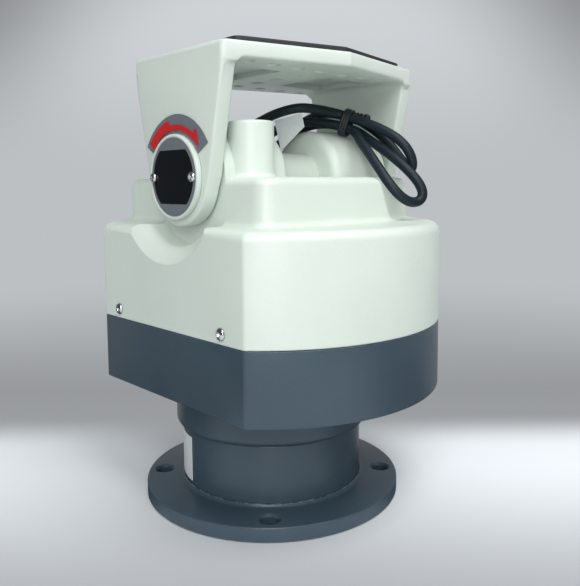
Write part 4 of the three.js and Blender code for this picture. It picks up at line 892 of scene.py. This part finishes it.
# %% Rubber pad
pad_low, pad_high = 72.4, 75.4
pad_inset, pad_end_inset = 3.5, 7.5
pad = domed("pad", lambda inset, height: plate_outline(pad_inset + inset, 4, pad_end_inset),
            pad_low, pad_high, 0.9, steps=3)
combine(pad, [bar(plate_hole, 68, 80, 28, place=(x, y, 0)) for x, y in plate_holes])
place_piece(pad, to_yoke)
complete(pad, pad_rubber, "rubber_pad")

# %% [markdown]
# The red arrow beside the left pivot is cut from film: a broad tail, a narrower neck and a barbed head that
# bends round the pivot. Its outline is a list of bends about the tilt axis, each from one angle and radius
# to the next. The outline is drawn twice, a film's thickness apart, and bridged.

# %% Arrow
arrow_back, arrow_face = -71.8, -71.5
degrees_a_step = 3
arrow_bends = [
    (53, 27, 10, 27), (10, 27, -36, 27), (-36, 27, -54, 28), (-54, 28, -37, 33.6), (-37, 33.6, -36, 30),
    (-36, 30, 10, 30), (10, 30, 11.5, 33.2), (11.5, 33.2, 53, 33.2), (53, 33.2, 53, 27),
]
arrow_outline = []
for start_turn, start_radius, end_turn, end_radius in arrow_bends:
    count = max(1, round(abs(end_turn - start_turn) / degrees_a_step))
    for i in range(count):
        turn = math.radians(start_turn + (end_turn - start_turn) * i / count)
        radius = start_radius + (end_radius - start_radius) * i / count
        arrow_outline.append((radius * math.sin(turn), radius * math.cos(turn)))
arrow = lofted("arrow", [[(x, y, z + tilt_axis) for y, z in arrow_outline] for x in (arrow_back, arrow_face)])
arrow.data.materials.append(red_film)
dress(arrow, "tilt_mark_arrow")

# %% [markdown]
# Each end of the tilt shaft has a round cover with a raised rim, a glossy film set into it and two button-
# head screws. Each is one spun profile, made facing up and then turned to face out on its side. A screw's
# hexagon socket is cut with a bar of six sides.

# %% Screws with a hexagon socket
head_lip = 0.25
head_steps = 7


def button_screw(name, head_radius, head_height, shank_radius, reach):
    profile = [(0, -reach), (shank_radius, -reach), (shank_radius, 0), (head_radius, 0),
               (head_radius, head_lip)]
    for i in range(1, head_steps):
        turn = math.pi / 2 * i / head_steps
        profile.append((head_radius * math.cos(turn), head_lip + (head_height - head_lip) * math.sin(turn)))
    profile += [(head_radius * 0.24, head_height), (0, head_height)]
    solid = turned(name, profile, steps=36)
    combine(solid, [bar(head_radius * 0.46, head_height * 0.4, head_height + 1, 6)])
    return solid


def face_out(side, distance, y=0, height=0):
    turn = Matrix.Rotation(math.pi / 2 * side, 4, "Y")
    return Matrix.Translation(Vector((side * distance, y, height)) * mm) @ turn


# %% [markdown]
# The film is grey with a black window, cut off straight above and below and following the rim at the sides.
# A picture could paint it, but here planes cut the film along the window's outline, so the two colours meet
# at a clean edge between faces: two planes for the straight cuts, and a ring of them for the curve.

# %% The dark window in a film
window_rise = 15.5
window_radius = 20.3
window_sides = 40


def paint_window(film):
    bm = bmesh.new()
    bm.from_mesh(film.data)
    middle = Vector((0, 0, tilt_axis * mm))
    cuts = [(Vector((0, 0, share)), window_rise) for share in (-1, 1)]
    for i in range(window_sides):
        turn = math.pi * 2 * i / window_sides
        cuts.append((Vector((0, math.cos(turn), math.sin(turn))), window_radius))
    for normal, reach in cuts:
        bmesh.ops.bisect_plane(bm, geom=bm.verts[:] + bm.edges[:] + bm.faces[:], dist=merge_distance,
                               plane_co=middle + normal * reach * mm, plane_no=normal)
    for face in bm.faces:
        spot = face.calc_center_median() - middle
        within = all(spot.dot(normal) < reach * mm for normal, reach in cuts)
        face.material_index = 0 if within else 1
    bm.to_mesh(film.data)
    bm.free()


# %% Pivot covers, films and their screws
cap_radius, cap_height, cap_seat = 24.65, 3.1, 80.8
film_radius, film_height, film_seat = 22.4, 0.4, 83.3
cap_screw_seat = 84
for name, side in (("left", -1), ("right", 1)):
    cap = turned(f"pivot_cap_{name}", [
        (0, 0), (cap_radius, 0), *quarter_round(cap_radius, cap_height, 0.9, 4), (23.1, cap_height),
        (22.75, 2.9), (22.7, 2.2), (0, 2.2)])
    film = turned(f"pivot_film_piece_{name}", [
        (0, 0), (film_radius, 0), (film_radius, film_height - 0.1), (film_radius - 0.2, film_height),
        (0, film_height)])
    for piece, distance, paint in ((cap, cap_seat, pale_paint), (film, film_seat, black_film)):
        combine(piece, [bar(cap_screw_hole, -5, 9, 24, place=(0, y, 0)) for y in cap_screw_places.values()])
        place_piece(piece, to_yoke @ face_out(side, distance))
        shade(piece)
        piece.data.materials.append(paint)
    film.data.materials.append(grey_film)
    paint_window(film)
    dress(cap, f"pivot_cover_{name}")
    dress(film, f"pivot_film_{name}")
    for title, y in cap_screw_places.items():
        screw = button_screw(f"cap_button_{name}_{title}", 2.9, 2.1, 1.5, 9)
        place_piece(screw, to_yoke @ face_out(side, cap_screw_seat, y))
        complete(screw, bright_steel, f"cap_screw_{name}_{title}")

# %% [markdown]
# Two screws on each flat side hold the cover on the skirt. They are the same kind as the pivot cover's, a
# size larger, so the same helper makes them with other values.

# %% Screws of the cover
for i, (side, y) in enumerate(cover_screws):
    screw = button_screw(f"cover_button_{i + 1}", 3.5, 2.1, 1.9, 8)
    place_piece(screw, face_out(side, face_of(side) + 0.3, y, screw_height))
    complete(screw, bright_steel, f"cover_screw_{i + 1}")

# %% [markdown]
# The gland seals the cable where it leaves the deck. It is moulded, with a hexagon for a spanner and a ring
# of grip grooves round a nut that tapers to the cable. A spun profile, a bar of six sides and thin bars
# that cut the grooves show that from any side.

# %% Gland
def grip_bars(count, circle, radius, low, high, sides):
    return [bar(radius, low, high, sides, place=(*on_circle(circle, math.pi * 2 / count * i), 0))
            for i in range(count)]


gland = turned("gland", [
    (0, 208), (6.4, 208), (6.4, 212.2), (6, 213.4), (5.2, 214.8), (4.4, 215.6), (0, 215.6)], steps=72)
hexagon = bar(8, 203.3, 208.3, 6)
tail = bar(5, 195.3, 204, 48)
combine(gland, [hexagon, tail], "UNION")
combine(gland, grip_bars(12, 6.7, 0.8, 208.9, 213, 12))
place_piece(gland, shift(*gland_place))
complete(gland, black_plastic, "cable_gland")

# %% [markdown]
# The plug ends the cable. It is moulded in one, with three soft rings where the cable enters, a grooved
# grip and a hollow mouth. All but the grooves is one spun profile, and thin bars cut those as they do in
# the gland.

# %% Plug
plug_place = (-7, 63, 209.6)
plug_profile = [(0, 0.3), (3.7, 0.3), (4.4, 0.9)]
for i in range(3):
    start = 1.6 + i * 1.8
    plug_profile += [(4.6, start), (4.6, start + 0.9), (4.1, start + 1), (4.1, start + 1.7)]
plug_profile += [(4.6, 7.1), (5.4, 7.4), (5.9, 8), (6, 8.6), (6, 17.4), (5.7, 18.1), (5.2, 18.4), (5.2, 20),
                 (4.4, 20), (4.4, 15), (0, 15)]
plug = turned("plug", plug_profile, steps=72)
combine(plug, grip_bars(24, 6.15, 0.45, 9.2, 17, 10))
place_piece(plug, shift(*plug_place) @ Matrix.Rotation(-math.pi / 2, 4, "Y"))
complete(plug, black_plastic, "cable_plug")

# %% [markdown]
# The tie is a soft black wire wound two and a half times round the four strands, with its ends twisted
# together into a short tail. A curve that goes round a rounded square, drifting along the strands, makes
# the wraps, and two helices about the tail's line make the twist. A small ball closes its end.

# %% Tie: the wraps
tie_basis = Matrix((tie_side, tie_over, -tie_heading)).transposed().to_4x4()
tie_basis.translation = tie_place
tie_wire = 1.05 * mm
wrap_half = strand_pitch / 2 + cord_radius + tie_wire + 0.15 * mm
wrap_turns, wrap_steps, wrap_travel = 2.5, 160, 4.6
squareness = 3.2
wire_places = []
for i in range(wrap_steps + 1):
    turn = 2 * math.pi * wrap_turns * i / wrap_steps
    over, beside = abs(math.cos(turn)), abs(math.sin(turn))
    reach = wrap_half / (over ** squareness + beside ** squareness) ** (1 / squareness)
    travel = (i / wrap_steps - 0.5) * wrap_travel * mm
    wire_places.append(tie_basis @ Vector((reach * math.sin(turn), reach * math.cos(turn), travel)))
wire = round_cord("wire", wire_places, tie_wire, 3)

# %% Tie: the twisted tail
tail_rise = wrap_half * 0.72
tail_line = Vector((0, 0.1, -0.99))
tail_length, knot_distance = 12, 12.5
twist_spread, twist_turns, twist_steps = 1.15 * mm, 2.2, 60
twists = []
for strand in (0, 1):
    places = []
    for i in range(twist_steps + 1):
        share = i / twist_steps
        turn = 2 * math.pi * twist_turns * share + math.pi * strand
        round_line = Vector((twist_spread * math.sin(turn), tail_rise + twist_spread * math.cos(turn), 0))
        places.append(tie_basis @ (round_line + tail_line * tail_length * mm * share))
    twists.append(round_cord("twist", places, tie_wire, 3))
knot_place = tie_basis @ (Vector((0, tail_rise, 0)) + tail_line * knot_distance * mm)
bm = bmesh.new()
for source in (wire, *twists):
    bm.from_mesh(source.data)
    bpy.data.objects.remove(source)
bmesh.ops.create_icosphere(bm, subdivisions=3, radius=2.1 * mm, matrix=Matrix.Translation(knot_place))
tie = to_object("tie", bm)
complete(tie, black_plastic, "cable_tie", cord_smooth_angle)

# %% [markdown]
# The tag is a bare strip of label stock that hangs from the lead, longer at one end than at the other, and
# curls a little towards its free corner. A grid bent by a short formula, given thickness by a modifier, is
# enough.

# %% Tag
tag_start = Vector((13, 10.5, 244.6)) * mm
tag_end = Vector((23.5, -4.6, 248.9)) * mm
tag_gap = 0.3 * mm
tag_long, tag_short = 21 * mm, 9 * mm
tag_curl = 2.4 * mm
tag_along = tag_end - tag_start
tag_facing = tag_along.normalized().cross(up).normalized()
tag_upright = tag_facing.cross(tag_along.normalized())
bm = bmesh.new()
bmesh.ops.create_grid(bm, x_segments=16, y_segments=16, size=0.5)
for point in bm.verts:
    across, down = point.co.x + 0.5, 0.5 - point.co.y
    drop = cord_radius + tag_gap + down * (tag_long + (tag_short - tag_long) * across)
    curl = tag_curl * (down ** 2) * (1 - across)
    point.co = tag_start + tag_along * across - tag_upright * drop + tag_facing * curl
tag = to_object("tag", bm)
tag_wall = tag.modifiers.new("wall", "SOLIDIFY")
tag_wall.thickness = 0.4 * mm
tag_wall.offset = 0
settle(tag)
complete(tag, white_film, "cable_tag")

# %% [markdown]

# %% [markdown]
# What is left keeps the model's own mesh and only takes a finish: the grey band on the arm, the label on
# the turret and every part inside the castings.

# %% Finishes of the model's own meshes
for name, node in frame["nodes"].items():
    node.data.materials.clear()
    node.data.materials.append(finishes[slot_of[name]])
print("model's meshes with a finish:", len(frame["nodes"]))

# %% [markdown]
# The studio is a pale floor that runs back into a pale sweep, with a soft band of painted shade where one
# turns into the other. Near the object the floor is real and takes its shadow, and painted shade makes it
# darker in front than behind. Further off a ramp gives the tone that the camera and reflections see, so that
# the backdrop never lights the object twice, and it meets the world's colour at the horizon. Away from the
# sweep reflections see a dark studio instead, which gives glossy paint its contrast.

# %% Tones and masks of the studio
# The sweep's tones start with a band of painted shade just past the near floor, then grow lighter to the
# horizon.
sweep_tones = [(0, 0.34), (0.03, 0.325), (0.07, 0.36), (0.12, 0.405), (0.25, 0.455), (0.85, 0.53)]
horizon_tone = sweep_tones[-1][1]
side_tone = 0.1
side_facing, back_facing = 0.2, 0.6
sweep_tint = (0.955, 0.99, 1.03)


def tinted(tone):
    return (*(tone * channel for channel in sweep_tint), 1)


def not_dark(tree, facing, rays):
    behind = remap(tree, facing, side_facing, back_facing, "SMOOTHSTEP")
    return calculate(tree, "MAXIMUM", behind, rays["Is Camera Ray"])


def seen_or_mirrored(tree, rays):
    seen = calculate(tree, "MAXIMUM", rays["Is Camera Ray"], rays["Is Glossy Ray"])
    return calculate(tree, "MAXIMUM", seen, rays["Is Transmission Ray"])


# %% Floor: where things are
near_edge, far_edge = 0.4, 1.1
band_start, band_end = 0.045, 0.14
ramp_reach = 2.4
# Where the painted shade on the floor's front fades out.
front_start, front_end = -0.16, 0.03
mirror_side, mirror_front = 0.3, 0.75
floor_material, tree = new_material("floor")
spot = add_node(tree, "ShaderNodeTexCoord").outputs["Object"]
distance = measure(tree, "LENGTH", spot)
back = measure(tree, "DOT_PRODUCT", spot, tuple(ahead))
rays = add_node(tree, "ShaderNodeLightPath").outputs
in_band = remap(tree, back, band_start, band_end, "SMOOTHERSTEP")
far_off = remap(tree, distance, near_edge, far_edge, "SMOOTHSTEP")
fade = calculate(tree, "MAXIMUM", in_band, far_off)
facing = calculate(tree, "DIVIDE", back, distance)
front_or_back = remap(tree, calculate(tree, "ABSOLUTE", facing), mirror_side, mirror_front, "SMOOTHSTEP")
front_shade = remap(tree, back, front_start, front_end, "SMOOTHSTEP")

# %% Floor: tones, and the sheet itself
front_shade_tone, floor_tone, mirrored_tone = 0.4, 0.88, 0.9
floor_reach = 60
floor_drop = 0.2 * mm
sweep = add_node(tree, "ShaderNodeValToRGB", {"Fac": remap(tree, back, band_end, ramp_reach)})
while len(sweep.color_ramp.elements) < len(sweep_tones):
    sweep.color_ramp.elements.new(1)
for stop, (share, tone) in zip(sweep.color_ramp.elements, sweep_tones):
    stop.position = share
    stop.color = tinted(tone)
outer = mix_colours(tree, not_dark(tree, facing, rays), tinted(side_tone), tinted(horizon_tone))
far_colour = mix_colours(tree, far_off, sweep.outputs["Color"], outer)
plain_floor = mix_colours(tree, front_shade, tinted(front_shade_tone), tinted(floor_tone))
mirrored_floor = mix_colours(tree, front_or_back, tinted(side_tone), tinted(mirrored_tone))
near_colour = mix_colours(tree, rays["Is Glossy Ray"], plain_floor, mirrored_floor)
near_floor = add_node(tree, "ShaderNodeBsdfDiffuse", {"Color": near_colour})
far_floor = add_node(tree, "ShaderNodeEmission", {"Color": far_colour, "Strength": 1.0})
shown = calculate(tree, "MULTIPLY", fade, seen_or_mirrored(tree, rays))
mixed = add_node(tree, "ShaderNodeMixShader", {0: shown, 1: near_floor.outputs[0], 2: far_floor.outputs[0]})
output = add_node(tree, "ShaderNodeOutputMaterial")
tree.links.new(mixed.outputs[0], output.inputs["Surface"])
bm = bmesh.new()
bmesh.ops.create_grid(bm, x_segments=8, y_segments=8, size=floor_reach)
bmesh.ops.translate(bm, vec=(0, 0, -floor_drop), verts=bm.verts)
floor = to_object("floor", bm)
floor.data.materials.append(floor_material)
print("floor:", floor_reach * 2, "m across")

# %% [markdown]
# Behind the floor the sweep goes on as the world's colour, with a painted glow of light in the middle and
# painted shade in the corners. The world has two jobs, to be seen and to light. A mix by the kind of ray
# keeps them apart, so that the light on the object can be set without changing the backdrop.

# %% Backdrop
lighting_strength = 0.43
lighting_colour = (0.95, 0.98, 1, 1)
# The glow is painted light on the backdrop, and the corner tone is painted shade.
glow_tone, corner_shade_tone = 0.66, 0.28
glow_edge, glow_middle = 0.89, 0.97
sweep_height = 0.26
world = bpy.data.worlds.new("backdrop")
bpy.context.scene.world = world
world.use_nodes = True
tree = world.node_tree
tree.nodes.clear()
direction = add_node(tree, "ShaderNodeTexCoord").outputs["Generated"]
height = add_node(tree, "ShaderNodeSeparateXYZ", {0: direction}).outputs["Z"]
facing = measure(tree, "DOT_PRODUCT", direction, tuple(ahead))
rays = add_node(tree, "ShaderNodeLightPath").outputs
rise = remap(tree, height, 0.0, sweep_height, "SMOOTHSTEP")
glow = remap(tree, facing, glow_edge, glow_middle, "SMOOTHSTEP")
upper_colour = mix_colours(tree, glow, tinted(corner_shade_tone), tinted(glow_tone))
sweep_colour = mix_colours(tree, rise, tinted(horizon_tone), upper_colour)
backdrop_colour = mix_colours(tree, not_dark(tree, facing, rays), tinted(side_tone), sweep_colour)
lighting = add_node(tree, "ShaderNodeBackground", {"Color": lighting_colour, "Strength": lighting_strength})
backdrop = add_node(tree, "ShaderNodeBackground", {"Color": backdrop_colour, "Strength": 1.0})
mixed = add_node(tree, "ShaderNodeMixShader", {
    0: seen_or_mirrored(tree, rays), 1: lighting.outputs[0], 2: backdrop.outputs[0]})
output = add_node(tree, "ShaderNodeOutputWorld")
tree.links.new(mixed.outputs[0], output.inputs["Surface"])
print("world's light:", lighting_strength)

# %% [markdown]
# The photograph has the even light of a bright room, with soft shadows and a gentle fall from top to foot.
# One lamp could light the object, but three wide ones come closer: a key high behind the camera, a small
# one at the camera's height and a large one above to the right.

# %% Lamps
lamp_aim = Vector((0, 0, 0.13))


def soft_lamp(name, place, size, power):
    data = bpy.data.lights.new(name, "AREA")
    data.shape = "RECTANGLE"
    data.size, data.size_y = size
    data.energy = power
    lamp = add_object(name, data)
    aim = lamp_aim - Vector(place)
    lamp.matrix_world = Matrix.Translation(place) @ aim.to_track_quat("-Z", "Y").to_matrix().to_4x4()
    print(name, "lamp:", power, "W")


def from_camera(sideways, forwards, height):
    return aside * sideways + ahead * forwards + up * height


soft_lamp("key", from_camera(-0.1, -1.1, 0.85), (0.5, 0.7), 7.1)
soft_lamp("front", from_camera(0.0, -1.2, 0.22), (0.26, 0.3), 2.8)
soft_lamp("top", from_camera(0.42, -0.45, 1.18), (0.8, 0.8), 10)
bpy.context.scene.view_settings.view_transform = "Standard"
